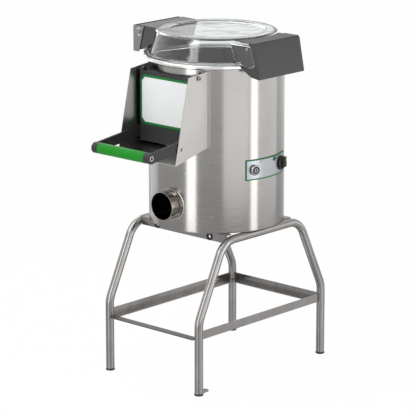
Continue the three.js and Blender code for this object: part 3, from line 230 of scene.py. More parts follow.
def linear(colour):
    """An sRGB hex value as linear red, green, blue and alpha."""
    parts = [int(colour[i:i + 2], 16) / 255 for i in (1, 3, 5)]
    return (*[c / 12.92 if c <= 0.04045 else ((c + 0.055) / 1.055) ** 2.4 for c in parts], 1)


WHITE = linear("#ffffff")


def length_prop(name, description, millimetres):
    return bpy.props.FloatProperty(
        name=name, description=description, default=millimetres * MM, min=0, unit="LENGTH",
        precision=4)


class PeelerSizes(bpy.types.PropertyGroup):
    drum_radius: length_prop(
        "Drum radius", "Outside radius of the drum", (shell_high.x - shell_low.x) / 2 / MM)
    tube_radius: length_prop("Stand tube radius", "Outside radius of the bent stand tube", 12.5)
    grip_radius: length_prop("Grip radius", "Outside radius of the green grip sleeve", 16)
    knob_radius: length_prop("Knob radius", "Radius of the timer knob's skirt", 21.5)
    button_radius: length_prop("Button radius", "Radius of the push button's cap", 11)
    label_border: length_prop("Label border", "Width of the green border round the door label", 7)
    panel_border: length_prop("Panel border", "Width of the green border round the panel", 3.5)
    sheet_edge: length_prop("Sheet edge", "Rounding on the edges of cut sheet steel", 0.5)
    cast_edge: length_prop("Cast edge", "Rounding on the edges of the cast door and arms", 1.4)
    moulded_edge: length_prop("Moulded edge", "Rounding on the edges of the catch cover", 1)
    bright_edge: length_prop("Bright edge", "Rounding on the catch lug's polished edge", 2.5)
    round_facets: bpy.props.IntProperty(
        name="Round facets", description="Sides of the drum, rim and lid", default=192, min=24)
    small_facets: bpy.props.IntProperty(
        name="Small facets", description="Sides of tubes, knobs and bolts", default=40, min=12)


# Name, what it colours and its sRGB value
COLOURS = (
    ("brushed", "Brushed stainless sheet of the drum", "#959391"),
    ("sheet", "Brushed stainless sheet of the chute", "#a5a3a0"),
    ("bracket", "Dull steel of the hinge bracket", "#8a8988"),
    # lug: a darker copy of the tube's stainless, painted shade for the dark reflections on the hinge
    # lug and the tray bar
    ("lug", "Dark steel of the lid's hinge lug and the tray bar", "#5b5a59"),
    ("pipe", "Heat-tinted steel of the waste pipe", "#a49f9a"),
    ("tube", "Satin stainless tube, angle, rod and bolts", "#939190"),
    ("polished", "Rim, washer, water inlet and catch lug edge", "#dcdbd9"),
    ("cast", "Powder-coated door and handle arms", "#2d2d2e"),
    ("moulded", "Cover of the lid catch", "#3a3a3a"),
    # catch: the cover's grey painted lighter on the lug, as painted light against the shade the
    # cover casts
    ("catch", "Lug that the catch turns on", "#4b4b4b"),
    ("black", "Knob, button, feet and gland", "#161617"),
    ("grip", "Sleeve on the door handle", "#137d1c"),
    ("border", "Printed borders", "#00682c"),
    ("mark", "Lozenge on the control panel", "#07443a"),
    ("plate", "Face of the label, and the ring on the button", "#dadbdc"),
    ("panel", "Silvered face of the control panel", "#999ba0"),
    ("rubber", "Door seal, belt and rail bushings", "#181716"),
    ("silicone", "White seal under the lid", "#ededea"),
    ("grit", "Abrasive coat of the plate and liner", "#8a857b"),
    ("cream", "Knob pointer", "#ece9b8"),
    ("amber", "Lens of the panel lamp", "#c9b09c"),
    ("motor", "Motor body", "#3c4c5c"),
    ("clear", "Clear lid", "#f4f7f7"),
)


class PeelerColours(bpy.types.PropertyGroup):
    __annotations__ = {
        name: bpy.props.FloatVectorProperty(
            name=name.capitalize(), description=use, default=linear(value), size=4,
            subtype="COLOR", min=0, max=1)
        for name, use, value in COLOURS}


def sizes():
    return bpy.context.scene.peeler_sizes


def colours():
    return bpy.context.scene.peeler_colours


def size(name):
    """One of the panel's lengths, in millimetres."""
    return getattr(sizes(), name) / MM


# Materials


def add_node(tree, kind, inputs=None, **settings):
    """Adds a shader node; a value that is a socket is linked, and any other is set."""
    node = tree.nodes.new("ShaderNode" + kind)
    for name, value in settings.items():
        setattr(node, name, value)
    for name, value in (inputs or {}).items():
        socket = node.inputs[name]
        if isinstance(value, bpy.types.NodeSocket):
            tree.links.new(value, socket)
        else:
            socket.default_value = value
    return node


def empty_tree(owner):
    owner.use_nodes = True
    owner.node_tree.nodes.clear()
    return owner.node_tree


def new_material(name, **shader):
    """A material with one Principled shader; keys name its sockets with _ for a space. Where the
    material exists already, there is no tree to fill in."""
    material = bpy.data.materials.get(name)
    if material:
        return material, None, None
    material = bpy.data.materials.new(name)
    tree = empty_tree(material)
    principled = add_node(
        tree, "BsdfPrincipled", {key.replace("_", " "): value for key, value in shader.items()})
    add_node(tree, "OutputMaterial", {"Surface": principled.outputs["BSDF"]})
    return material, tree, principled


def feed(tree, principled, **values):
    """Links values to the shader's sockets, named as in new_material."""
    for key, value in values.items():
        tree.links.new(value, principled.inputs[key.replace("_", " ")])


def grain(tree, millimetres, detail=2.0):
    """Noise whose features are as long as the three sizes given, in millimetres on X, Y and Z."""
    place = add_node(tree, "TexCoord").outputs["Object"]
    scale = [1 / (MM * length) for length in millimetres]
    stretched = add_node(tree, "Mapping", {"Vector": place, "Scale": scale}).outputs["Vector"]
    return add_node(
        tree, "TexNoise", {"Vector": stretched, "Scale": 1.0, "Detail": detail}).outputs["Fac"]


def remap(tree, value, before, after):
    """Takes a value from one range to another, and keeps it inside."""
    return add_node(tree, "MapRange", {
        "Value": value, "From Min": before[0], "From Max": before[1],
        "To Min": after[0], "To Max": after[1]}).outputs["Result"]


def calculated(tree, operation, first, second):
    return add_node(tree, "Math", {0: first, 1: second}, operation=operation).outputs["Value"]


def blended(tree, share, first, second):
    return add_node(tree, "MixShader", {"Fac": share, 1: first, 2: second}).outputs["Shader"]


def spread(tree, value, low, high):
    """Takes noise round a half to the range from low to high."""
    return remap(tree, value, (0.3, 0.7), (low, high))


def shaded(tree, colour, value, low, high):
    """The colour made darker and lighter by noise, from low to high times its value."""
    return add_node(tree, "HueSaturation", {
        "Color": colour, "Value": spread(tree, value, low, high)}).outputs["Color"]


def bumped(tree, height, millimetres):
    return add_node(
        tree, "Bump", {"Height": height, "Distance": millimetres * MM}).outputs["Normal"]


def brushed_steel(name, colour, lines, roughness):
    """Cold-rolled stainless, belt-brushed: fine parallel scratches stretch what it reflects. Real
    scratches are 0.1 mm apart, and are drawn coarser so that they show."""
    material, tree, principled = new_material(name, Metallic=1.0, Roughness=roughness)
    if tree:
        scratches = grain(tree, lines, 3.0)
        clouds = grain(tree, (90, 90, 120), 1.0)
        tone = shaded(tree, getattr(colours(), colour), clouds, 0.96, 1.03)
        feed(tree, principled,
             Base_Color=shaded(tree, tone, scratches, 0.95, 1.04),
             Roughness=spread(tree, scratches, roughness - 0.04, roughness + 0.05),
             Normal=bumped(tree, scratches, 0.02))
    return material


def drum_steel():
    """Brushed round the drum, so that the scratches lie level."""
    return brushed_steel("brushed_304_stainless_round", "brushed", (60, 60, 1.2), 0.17)


def sheet_steel():
    """Brushed upright on the chute's folded sheets."""
    return brushed_steel("brushed_304_stainless_upright", "sheet", (1.5, 1.5, 70), 0.28)


def bracket_steel():
    """Sand-blasted stainless of the folded hinge bracket: dull and darker than the drum."""
    return brushed_steel("blasted_stainless", "bracket", (2, 2, 2), 0.34)


def shade_darkened_steel():
    """Stainless of the hinge lug and tray bar, painted darker than the tube as painted shade for the
    dark reflections they show: a smooth gradient of reflections.
    """
    return brushed_steel("stainless_darkened_as_shade", "lug", (60, 2, 60), 0.3)


def pipe_steel():
    """Welded stainless pipe: ring marks from polishing and a brown heat tint."""
    return brushed_steel("heat_tinted_stainless_pipe", "pipe", (60, 1.5, 60), 0.14)


def tube_steel():
    """Pickled stainless tube: faint drawn streaks, clouds and a straw-brown heat tint."""
    material, tree, principled = new_material("satin_stainless_tube", Metallic=1.0, Roughness=0.2)
    if tree:
        clouds = grain(tree, (35, 35, 60), 3.0)
        streaks = grain(tree, (6, 6, 40))
        tint = add_node(tree, "MixRGB", {
            "Fac": spread(tree, grain(tree, (70, 70, 90), 1.0), 0.0, 0.12),
            "Color1": colours().tube, "Color2": linear("#a3978a")}).outputs["Color"]
        feed(tree, principled,
             Base_Color=shaded(tree, tint, clouds, 0.9, 1.05),
             Roughness=spread(tree, streaks, 0.18, 0.23),
             Normal=bumped(tree, streaks, 0.01))
    return material


def polished_steel():
    """Electropolished stainless: nearly a mirror, with a slow ripple that bends what it shows."""
    material, tree, principled = new_material(
        "electropolished_stainless", Metallic=1.0, Roughness=0.1)
    if tree:
        ripple = grain(tree, (50, 50, 20), 1.0)
        feed(tree, principled,
             Base_Color=shaded(tree, colours().polished, ripple, 0.97, 1.02),
             Roughness=spread(tree, ripple, 0.08, 0.14))
    return material


def coated(name, colour, roughness, pebble, depth, ior=1.5, clouds=(0.92, 1.06)):
    """A dull skin with a pebbled surface, of one of the panel's colours: pebble is the grain's
    size in millimetres, and clouds are the darkest and lightest it gets."""
    material, tree, principled = new_material(name, Roughness=roughness, IOR=ior)
    if tree:
        pebbles = grain(tree, (pebble, pebble, pebble))
        patches = grain(tree, (40, 40, 40))
        feed(tree, principled,
             Base_Color=shaded(tree, getattr(colours(), colour), patches, *clouds),
             Roughness=spread(tree, pebbles, roughness - 0.05, roughness + 0.06),
             Normal=bumped(tree, pebbles, depth))
    return material


def cast_aluminium():
    """Sand-cast aluminium under grey polyester powder coat: satin, with fine orange peel."""
    return coated("powder_coated_cast_aluminium", "cast", 0.45, 1.6, 0.05, 1.36)


def moulded_grey():
    """Injection-moulded ABS with a light spark texture: even grey, soft highlights."""
    return coated("moulded_grey_abs", "moulded", 0.42, 1.1, 0.03, 1.44)


def shade_lifted_grey():
    """Moulded grey of the catch lug, painted a lighter grey than the cover round it as painted light
    that lifts the shade the cover casts on it.
    """
    return coated("moulded_grey_lightened_against_shade", "catch", 0.42, 1.1, 0.03, 1.44)


def moulded_black():
    """Moulded black nylon: deep black with a dull gloss."""
    return coated("moulded_black_nylon", "black", 0.33, 1.0, 0.02, 1.53)


def grip_sleeve():
    """Extruded green PVC sleeve: satin, faintly drawn along its length."""
    material, tree, principled = new_material("extruded_green_pvc", Roughness=0.44, IOR=1.28)
    if tree:
        drawn = grain(tree, (60, 1.5, 1.5))
        feed(tree, principled,
             Base_Color=shaded(tree, colours().grip, drawn, 0.95, 1.05),
             Roughness=spread(tree, drawn, 0.4, 0.5),
             Normal=bumped(tree, drawn, 0.03))
    return material


def printed_green():
    """Screen-printed green ink on plate: flat, slightly open grain."""
    return coated("screen_printed_green", "border", 0.55, 0.9, 0.01, 1.4)


def printed_teal():
    """Screen-printed dark teal ink of the panel's mark."""
    return coated("screen_printed_teal", "mark", 0.55, 0.9, 0.01, 1.4)


def label_film():
    """Satin polycarbonate overlay, pale grey and smooth."""
    return coated("satin_polycarbonate_overlay", "plate", 0.4, 0.8, 0.01, 1.45, (0.985, 1.01))


def panel_film():
    """Silvered polyester film, brushed along the panel: greyer and more metallic than the label."""
    return brushed_steel("silvered_polyester_film", "panel", (70, 70, 1.5), 0.32)


def rubber():
    """Moulded EPDM of the door seal, the belt and the rails' bushings: dark and dry."""
    return coated("moulded_epdm", "rubber", 0.7, 1.2, 0.04, 1.52)


def white_silicone():
    """Moulded silicone seal: white, soft and slightly glossy."""
    return coated("moulded_white_silicone", "silicone", 0.4, 1.5, 0.01, 1.41, (0.97, 1.01))


def lamp_lens():
    """Moulded amber-grey polycarbonate lens, unlit."""
    return coated("moulded_lamp_polycarbonate", "amber", 0.2, 1.0, 0.005, 1.58)


def cream_nylon():
    """Moulded cream nylon, bright and smooth."""
    return coated("moulded_cream_nylon", "cream", 0.35, 1.0, 0.01, 1.53)


def motor_enamel():
    """Stoving enamel on the motor's cast frame."""
    return coated("motor_enamel", "motor", 0.45, 2.0, 0.05)


def abrasive_grit():
    """Silicon carbide grit in resin: 1.8 mm grains, light and dark."""
    material, tree, principled = new_material("silicon_carbide_grit", Roughness=0.85, IOR=1.6)
    if tree:
        place = add_node(tree, "TexCoord").outputs["Object"]
        grains = add_node(tree, "TexVoronoi", {"Vector": place, "Scale": 1 / (1.8 * MM)})
        feed(tree, principled,
             Base_Color=shaded(tree, colours().grit, grains.outputs["Color"], 0.75, 1.15),
             Normal=bumped(tree, grains.outputs["Distance"], 0.5))
    return material


def clear_polycarbonate():
    """Vacuum-formed clear polycarbonate: colourless, glossy, with faint drawing ripples."""
    material, tree, principled = new_material(
        "clear_polycarbonate", Base_Color=colours().clear, Roughness=0.02, IOR=1.58,
        Transmission_Weight=1.0)
    if tree:
        feed(tree, principled, Normal=bumped(tree, grain(tree, (60, 60, 60), 1.0), 0.9))
    return material


# Shapes


def put(name, data):
    """A new object in the scene."""
    made = bpy.data.objects.new(name, data)
    bpy.context.scene.collection.objects.link(made)
    return made


def take_mesh(bm):
    bmesh.ops.recalc_face_normals(bm, faces=bm.faces)
    mesh = bpy.data.meshes.new("shape")
    bm.to_mesh(mesh)
    bm.free()
    return mesh


def rounded(points, radius, steps=4):
    """A closed outline with its corners rounded, apart from those on the axis."""
    result = []
    count = len(points)
    for i, corner in enumerate(points):
        here = Vector(corner)
        back, on = Vector(points[i - 1]) - here, Vector(points[(i + 1) % count]) - here
        angle = back.angle(on)
        if corner[0] == 0 or angle > STRAIGHT:
            result.append(tuple(here))
            continue
        side = min(back.length, on.length)
        reach = min(radius / math.tan(angle / 2), CORNER_SHARE * side)
        first, last = here + back.normalized() * reach, here + on.normalized() * reach
        fitted = reach * math.tan(angle / 2)
        middle = (back.normalized() + on.normalized()).normalized()
        centre = here + middle * (fitted / math.sin(angle / 2))
        u, v = first - centre, last - centre
        sweep = u.angle(v)
        for k in range(steps + 1):
            share = k / steps
            along = u * math.sin((1 - share) * sweep) + v * math.sin(share * sweep)
            result.append(tuple(centre + along / math.sin(sweep)))
    return result


def lathe(profile, sides):
    """A turned solid about Z from a closed profile of (radius, z) points."""
    bm = bmesh.new()
    turn = 2 * math.pi / sides
    rings = []
    for r, z in profile:
        angles = [0] if r == 0 else [k * turn for k in range(sides)]
        rings.append([bm.verts.new((r * math.cos(a), r * math.sin(a), z)) for a in angles])
    for low, high in zip(rings, rings[1:] + rings[:1]):
        if len(low) == 1 and len(high) == 1:
            continue
        for k in range(sides):
            corners = (low[k % len(low)], low[(k + 1) % len(low)],
                       high[(k + 1) % len(high)], high[k % len(high)])
            bm.faces.new(list(dict.fromkeys(corners)))
    return take_mesh(bm)


def box_ring(inner, outer, bottom, top):
    return ((inner, bottom), (outer, bottom), (outer, top), (inner, top))


def circle(radius, sides, centre=(0, 0)):
    turn = 2 * math.pi / sides
    return [(centre[0] + radius * math.cos(k * turn), centre[1] + radius * math.sin(k * turn))
            for k in range(sides)]


def bridge(bm, low, high):
    """Faces between two closed loops with as many points."""
    count = len(low)
    for k in range(count):
        bm.faces.new((low[k], low[(k + 1) % count], high[(k + 1) % count], high[k]))


def prism(axis, outline, start, end):
    """A straight solid between two places on an axis: outlines are (y, z) on X, (x, z) on Y."""
    bm = bmesh.new()
    low = [bm.verts.new((a, b, start)) for a, b in outline]
    high = [bm.verts.new((a, b, end)) for a, b in outline]
    bm.faces.new(low[::-1])
    bm.faces.new(high)
    bridge(bm, low, high)
    mesh = take_mesh(bm)
    laying = LAYINGS[axis]
    mesh.transform(laying)
    if laying.determinant() < 0:
        mesh.flip_normals()
    return mesh


def rod(axis, radius, start, end, centre=(0, 0), sides=None):
    """A round bar; centre is (y, z) on X, (x, z) on Y."""
    return prism(axis, circle(radius, sides or sizes().small_facets, centre), start, end)


def modified(mesh, kind, **settings):
    """The mesh with a modifier applied."""
    holder = put("holder", mesh)
    modifier = holder.modifiers.new(kind, kind)
    for name, value in settings.items():
        setattr(modifier, name, value)
    bpy.context.view_layer.update()
    evaluated = holder.evaluated_get(bpy.context.evaluated_depsgraph_get())
    result = bpy.data.meshes.new_from_object(evaluated)
    bpy.data.objects.remove(holder)
    return result


def carved(mesh, *cutters, operation="DIFFERENCE"):
    for cutter in cutters:
        tool = put("tool", cutter)
        mesh = modified(mesh, "BOOLEAN", object=tool, operation=operation, solver="EXACT")
        bpy.data.objects.remove(tool)
    return mesh


def softened(mesh, width, segments=2, edge_index=0):
    """Rounds the mesh's sharp edges, which take the material of that index. Wide bright edges
    run past the small faces beside them, so they aren't held back by these."""
    return modified(mesh, "BEVEL", width=width, segments=segments, limit_method="ANGLE",
                    angle_limit=SHARP, use_clamp_overlap=edge_index == 0, material=edge_index)


def merged(*meshes):
    """The meshes as one, without cutting them against each other."""
    bm = bmesh.new()
    for mesh in meshes:
        bm.from_mesh(mesh)
    return take_mesh(bm)


def cad_copy(node):
    """A CAD node's solid in this script's millimetres, with its flat faces made whole."""
    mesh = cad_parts[node].data.copy()
    mesh.transform(TO_ROW.inverted())
    bm = bmesh.new()
    bm.from_mesh(mesh)
    bmesh.ops.remove_doubles(bm, verts=bm.verts, dist=0.01)
    bmesh.ops.dissolve_limit(bm, angle_limit=FLAT, verts=bm.verts, edges=bm.edges)
    return take_mesh(bm)


def on_drum(angle, z):
    """Lays a shape made about +Z on the drum, with +Z pointing away from the drum's axis."""
    out = Vector((math.sin(math.radians(angle)), -math.cos(math.radians(angle)), 0))
    up = Vector((0, 0, 1))
    across = up.cross(out)
    place = Matrix((across, up, out)).transposed().to_4x4()
    place.translation = out * size("drum_radius") + up * z
    return place


def laid(mesh, place):
    mesh.transform(place)
    return mesh


def turned(profile, radius, place=Matrix(), steps=4, sides=None):
    """A turned solid with rounded corners, laid in its place."""
    sides = sides or sizes().small_facets
    return laid(lathe(rounded(profile, radius, steps), sides), place)


def drilled(holes):
    """Cutters through the drum's wall, from (place, radius) pairs."""
    return [laid(rod("z", radius + SEAT_GAP, -OVERRUN, OVERRUN), on_drum(*place))
            for place, radius in holes]


def bent_path(corners, radii, steps=14):
    """Stations (point, direction) along straight runs with round bends."""
    points = [Vector(c) for c in corners]
    stations = [(points[0], (points[1] - points[0]).normalized())]
    for before, corner, after, radius in zip(points, points[1:], points[2:], radii):
        inward, outward = (corner - before).normalized(), (after - corner).normalized()
        angle = inward.angle(outward)
        side = (outward - inward * outward.dot(inward)).normalized()
        start = corner - inward * radius * math.tan(angle / 2)
        for k in range(steps + 1):
            turn = angle * k / steps
            stations.append((
                start + inward * radius * math.sin(turn) + side * radius * (1 - math.cos(turn)),
                inward * math.cos(turn) + side * math.sin(turn)))
    stations.append((points[-1], (points[-1] - points[-2]).normalized()))
    return stations


def sweep(stations, section, across):
    """A pipe that carries an outer and an inner loop of (across, out) points along the stations."""
    bm = bmesh.new()
    rings = []
    for point, direction in stations:
        out = direction.cross(across).normalized()
        rings.append([[bm.verts.new(point + across * a + out * b) for a, b in loop]
                      for loop in section])
    for low, high in zip(rings, rings[1:]):
        for before, after in zip(low, high):
            bridge(bm, before, after)
    for outer, inner in (rings[0], rings[-1]):
        bridge(bm, outer, inner)
    return take_mesh(bm)


def closed_bead(points, radius, sides=8):
    """A weld bead: a thin round bar along a closed loop of points."""
    bm = bmesh.new()
    count = len(points)
    centre = sum(points, Vector()) / count
    rings = []
    for k, point in enumerate(points):
        along = (points[(k + 1) % count] - points[k - 1]).normalized()
        out = point - centre
        out = (out - along * out.dot(along)).normalized()
        up = along.cross(out)
        rings.append([bm.verts.new(point + out * a + up * b) for a, b in circle(radius, sides)])
    for k in range(count):
        bridge(bm, rings[k], rings[(k + 1) % count])
    return take_mesh(bm)


def add_piece(name, mesh, body, slot, finish, *nodes, crease=32):
    """Puts a finished mesh in the scene on its CAD body, in place of its CAD nodes if it has any."""
    if not len(mesh.polygons):
        raise RuntimeError(f"{name} has no faces")
    mesh.transform(TO_ROW)
    mesh.shade_smooth()
    mesh.set_sharp_from_angle(angle=math.radians(crease))
    if len(mesh.materials) < 2:
        mesh.materials.clear()
        mesh.materials.append(finish())
    mesh = modified(mesh, "WEIGHTED_NORMAL", keep_sharp=True)
    mesh.name = name
    piece = put(name, mesh)
    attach(piece, body)
    if nodes:
        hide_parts(*nodes)


def edged(node, name, body, slot, finish, width, segments=2, edge_finish=None):
    """A CAD node's shape with its edges rounded, and bright where the edges have a finish."""
    mesh = cad_copy(node)
    if edge_finish:
        mesh.materials.append(finish())
        mesh.materials.append(edge_finish())
    mesh = softened(mesh, width, segments, 1 if edge_finish else 0)
    add_piece(name, mesh, body, slot, finish, node)


def dressed(node, slot, finish):
    """A sheet or bar of the machine with its cut edges rounded."""
    edged(node, f"{node}_dressed", "machine", slot, finish, size("sheet_edge"))


def refinished(node, finish):
    """A CAD node that keeps its own shape gets a better finish."""
    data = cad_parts[node].data
    data.materials.clear()
    data.materials.append(finish())


# Operators


class PeelerOperator(bpy.types.Operator):
    bl_options = {"REGISTER", "UNDO"}

    def execute(self, context):
        self.build()
        return {"FINISHED"}


class PEELER_OT_stand_tubes(PeelerOperator):
    """Two bent tubes that stand on black plastic feet"""
    bl_idname = "peeler.stand_tubes"
    bl_label = "Stand tubes and feet"

    def build(self):
        radius = size("tube_radius")
        foot = FOOT_HEIGHT + SEAT_GAP
        top = DRUM_BOTTOM - SEAT_GAP - radius
        route = [(-LEG_Y, foot), (-LEG_Y, KNEE_HEIGHT), (-SHOULDER_Y, top),
                 (SHOULDER_Y, top), (LEG_Y, KNEE_HEIGHT), (LEG_Y, foot)]
        facets = sizes().small_facets
        section = [circle(radius, facets), circle(radius - TUBE_WALL, facets)]
        for side, word in ((-1, "left"), (1, "right")):
            corners = [(side * LEG_X, y, z) for y, z in route]
            radii = (KNEE_RADIUS, SHOULDER_RADIUS, SHOULDER_RADIUS, KNEE_RADIUS)
            tube = sweep(bent_path(corners, radii), section, Vector((1, 0, 0)))
            add_piece(f"stand_tube_{word}", tube, "machine", "tube_steel", tube_steel,
                      f"side_frame_{word}")
            for end, place in ((-1, "front"), (1, "rear")):
                self.foot(side, end, f"{place}_{word}")

    def foot(self, side, end, word):
        spigot = size("tube_radius") - TUBE_WALL - SEAT_GAP
        profile = ((0, 0), (FOOT_RADIUS, 0), (FOOT_RADIUS, FOOT_HEIGHT), (spigot, FOOT_HEIGHT),
                   (spigot, 4 * FOOT_HEIGHT), (0, 4 * FOOT_HEIGHT))
        foot = turned(profile, 1.2, Matrix.Translation((side * LEG_X, end * LEG_Y, 0)))
        add_piece(f"tube_foot_{word}", foot, "machine", "black_plastic", moulded_black,
                  f"foot_{word}")


class PEELER_OT_stand_rails(PeelerOperator):
    """Rails with their bushings under the drum, rails and bar of the tray, and the floor lug"""
    bl_idname = "peeler.stand_rails"
    bl_label = "Stand rails"

    def build(self):
        for node in ("top_rail_front", "top_rail_rear", "tray_runner_left", "tray_runner_right",
                     "tray_rail_rear", "tray_bar_front", "floor_lug"):
            # The tray bar takes the darker steel: painted shade for the dark reflections on its face
            dressed(node, "tube_steel", shade_darkened_steel if node == "tray_bar_front" else tube_steel)
        x, z = GROMMET_PLACE
        for k, (side, end) in enumerate(((-1, -1), (1, -1), (-1, 1), (1, 1))):
            place = Matrix.Translation((side * x, end * GROMMET_FACE, z))
            bushing = turned(GROMMET, 0.7, place @ Matrix.Rotation(end * math.pi / 2, 4, "X"))
            add_piece(f"rail_grommet_{k + 1}", bushing, "machine", "rubber", rubber)


class PEELER_OT_drum(PeelerOperator):
    """Rolled drum with its openings, base plate, polished rim, seal and pressed dimples"""
    bl_idname = "peeler.drum"
    bl_label = "Drum"

    def build(self):
        facets = sizes().round_facets
        outer = size("drum_radius")
        inner = outer - DRUM_SHEET
        bottom = DRUM_BOTTOM + BASE_SHEET + SEAT_GAP
        wall = lathe(box_ring(inner, outer, bottom, DRUM_TOP + RIM_TUCK), facets)
        (x0, x1), (z0, z1) = DOOR_HOLE
        front = (-outer - OVERRUN, -outer / 2)
        door_hole = prism("y", [(x0, z0), (x1, z0), (x1, z1), (x0, z1)], *front)
        pipe_hole = rod("y", OUTLET_RADIUS + SEAT_GAP, *front, (0, OUTLET_Z))
        shell = carved(wall, door_hole, pipe_hole, *drilled(PANEL_HOLES + REAR_HOLES))
        add_piece("drum_body", shell, "machine", "drum_steel", drum_steel, "drum_shell")
        ring = inner - SEAT_GAP
        plate_top = DRUM_BOTTOM + BASE_SHEET
        ring_top = plate_top + BASE_RING
        base = turned((
            (0, DRUM_BOTTOM), (outer, DRUM_BOTTOM), (outer, plate_top), (ring, plate_top),
            (ring, ring_top), (ring - BASE_SHEET, ring_top), (ring - BASE_SHEET, plate_top),
            (0, plate_top)), 0.8, steps=3, sides=facets)
        add_piece("drum_base", base, "machine", "drum_steel", drum_steel, "base_plate")
        self.rim(outer, inner, facets)
        for k, place in enumerate(DIMPLE_PLACES):
            place = on_drum(*place) @ Matrix.Scale(DIMPLE_STRETCH, 4, (1, 0, 0))
            dimple = turned(DIMPLE, 0.5, place, sides=DIMPLE_FACETS)
            add_piece(f"drum_dimple_{k + 1}", dimple, "machine", "drum_steel", drum_steel)

    def rim(self, outer, inner, facets):
        top = DRUM_TOP + RIM_HEIGHT
        lip = DRUM_TOP - RIM_LIP_DEPTH
        groove = DRUM_TOP + RIM_TUCK + SEAT_GAP
        rim = turned((
            (outer + SEAT_GAP, DRUM_TOP), (RIM_RADIUS, DRUM_TOP), (RIM_RADIUS, top),
            (RIM_LIP_RADIUS, top), (RIM_LIP_RADIUS, lip), (inner - SEAT_GAP, lip),
            (inner - SEAT_GAP, groove), (outer + SEAT_GAP, groove)),
            RIM_EDGE, steps=6, sides=facets)
        add_piece("rolled_rim", rim, "machine", "polished_steel", polished_steel, "rim_ring")
        seal = turned(GASKET, 0.6, sides=facets)
        add_piece("rim_seal", seal, "machine", "rubber", white_silicone, "rim_gasket")


class PEELER_OT_outlet(PeelerOperator):
    """Waste pipe from the pan to the front, with its collar and weld bead"""
    bl_idname = "peeler.outlet"
    bl_label = "Waste outlet"

    def build(self):
        facets = 2 * sizes().small_facets
        inside = OUTLET_RADIUS - OUTLET_WALL
        mouth = (0, OUTLET_LIP - OUTLET_REACH, OUTLET_Z)
        drop = [(0, -OUTLET_DROP_Y, PAN_FLOOR - SEAT_GAP), (0, -OUTLET_DROP_Y, OUTLET_Z), mouth]
        section = [circle(OUTLET_RADIUS, facets), circle(inside, facets)]
        to_mouth = Matrix.Translation(mouth) @ Matrix.Rotation(math.pi / 2, 4, "X")
        lip = turned(box_ring(inside, OUTLET_RADIUS, 0, OUTLET_LIP), 0.35, to_mouth, sides=facets)
        pipe = merged(sweep(bent_path(drop, (OUTLET_BEND,)), section, Vector((1, 0, 0))), lip)
        add_piece("waste_pipe", pipe, "machine", "drum_steel", pipe_steel, "outlet_pipe")
        outer = size("drum_radius")
        middle = (0, OUTLET_Z)
        bore = rod("y", OUTLET_RADIUS + SEAT_GAP, COLLAR_FROM - OVERRUN, COLLAR_TO + OVERRUN,
                   middle, facets)
        drum = rod("z", outer + SEAT_GAP, DRUM_BOTTOM, DRUM_TOP, sides=sizes().round_facets)
        sleeve = carved(rod("y", COLLAR_RADIUS, COLLAR_FROM, COLLAR_TO, middle, facets), bore, drum)
        add_piece("waste_collar", softened(sleeve, 0.5), "machine", "drum_steel", pipe_steel,
                  "outlet_collar")
        loop = [Vector((x, -math.sqrt((outer + BEAD_PROUD) ** 2 - x ** 2), z))
                for x, z in circle(COLLAR_RADIUS, BEAD_STEPS, middle)]
        weld = closed_bead(loop, BEAD_RADIUS)
        add_piece("waste_collar_weld", weld, "machine", "drum_steel", pipe_steel)


class PEELER_OT_chute(PeelerOperator):
    """Folded sheet sides and floor of the discharge chute, with the door's pivot studs"""
    bl_idname = "peeler.chute"
    bl_label = "Discharge chute"

    def build(self):
        for node in ("chute_side_left", "chute_side_right", "chute_floor"):
            dressed(node, "drum_steel", sheet_steel)
        for node in ("door_stud_left", "door_stud_right"):
            dressed(node, "polished_steel", tube_steel)


class PEELER_OT_door(PeelerOperator):
    """Cast door with its seal, and the bare label plate in its green border"""
    bl_idname = "peeler.door"
    bl_label = "Door and label"

    def build(self):
        edged("door_panel", "cast_door", "door", "cast_grey", cast_aluminium, size("cast_edge"), 3)
        refinished("door_seal", rubber)
        back = -DOOR_FACE - SEAT_GAP
        front = back - LABEL_THICKNESS
        border = size("label_border")
        rim = carved(prism("y", self.outline(0), front, back),
                     prism("y", self.outline(border), front - 1, back + 1))
        add_piece("label_border", softened(rim, LABEL_EDGE), "door", "green_print",
                  printed_green, "label_frame")
        plate = prism("y", self.outline(border + SEAT_GAP), front, back)
        add_piece("label_face", softened(plate, LABEL_EDGE), "door", "pale_plate",
                  label_film, "label_plate")

    def outline(self, inset):
        x = LABEL_WIDTH / 2 - inset
        low = LABEL_BOTTOM + inset
        high = LABEL_BOTTOM + LABEL_HEIGHT - inset
        c = LABEL_CHAMFER - inset * (2 - math.sqrt(2))
        return [(-x + c, low), (x - c, low), (x, low + c), (x, high - c),
                (x - c, high), (-x + c, high), (-x, high - c), (-x, low + c)]


class PEELER_OT_handle(PeelerOperator):
    """Cast handle arms, and the rod with hex sockets through the green grip sleeve"""
    bl_idname = "peeler.handle"
    bl_label = "Door handle"

    def build(self):
        for word in ("left", "right"):
            edged(f"handle_arm_{word}", f"cast_arm_{word}", "door", "cast_grey", cast_aluminium,
                  size("cast_edge"), 3)
        to_grip = Matrix.Translation((0, -GRIP_Y, GRIP_Z)) @ Matrix.Rotation(math.pi / 2, 4, "Y")
        sleeve = box_ring(
            ROD_RADIUS + SEAT_GAP, size("grip_radius"), -GRIP_HALF_LENGTH, GRIP_HALF_LENGTH)
        add_piece("grip_sleeve", turned(sleeve, 1.0, to_grip), "door", "green_plastic",
                  grip_sleeve, "handle_grip")
        end = BOSS_HALF_LENGTH
        seat = end - ROD_HEAD_HEIGHT + SEAT_GAP
        bar = turned((
            (0, -end), (ROD_HEAD_RADIUS, -end), (ROD_HEAD_RADIUS, -seat), (ROD_RADIUS, -seat),
            (ROD_RADIUS, seat), (ROD_HEAD_RADIUS, seat), (ROD_HEAD_RADIUS, end), (0, end)), 0.6)
        bar = carved(bar, rod("z", HEX_RADIUS, end - HEX_DEPTH, end + 1, sides=6),
                     rod("z", HEX_RADIUS, -end - 1, HEX_DEPTH - end, sides=6))
        add_piece("grip_rod", laid(bar, to_grip), "door", "polished_steel", tube_steel, "handle_rod")


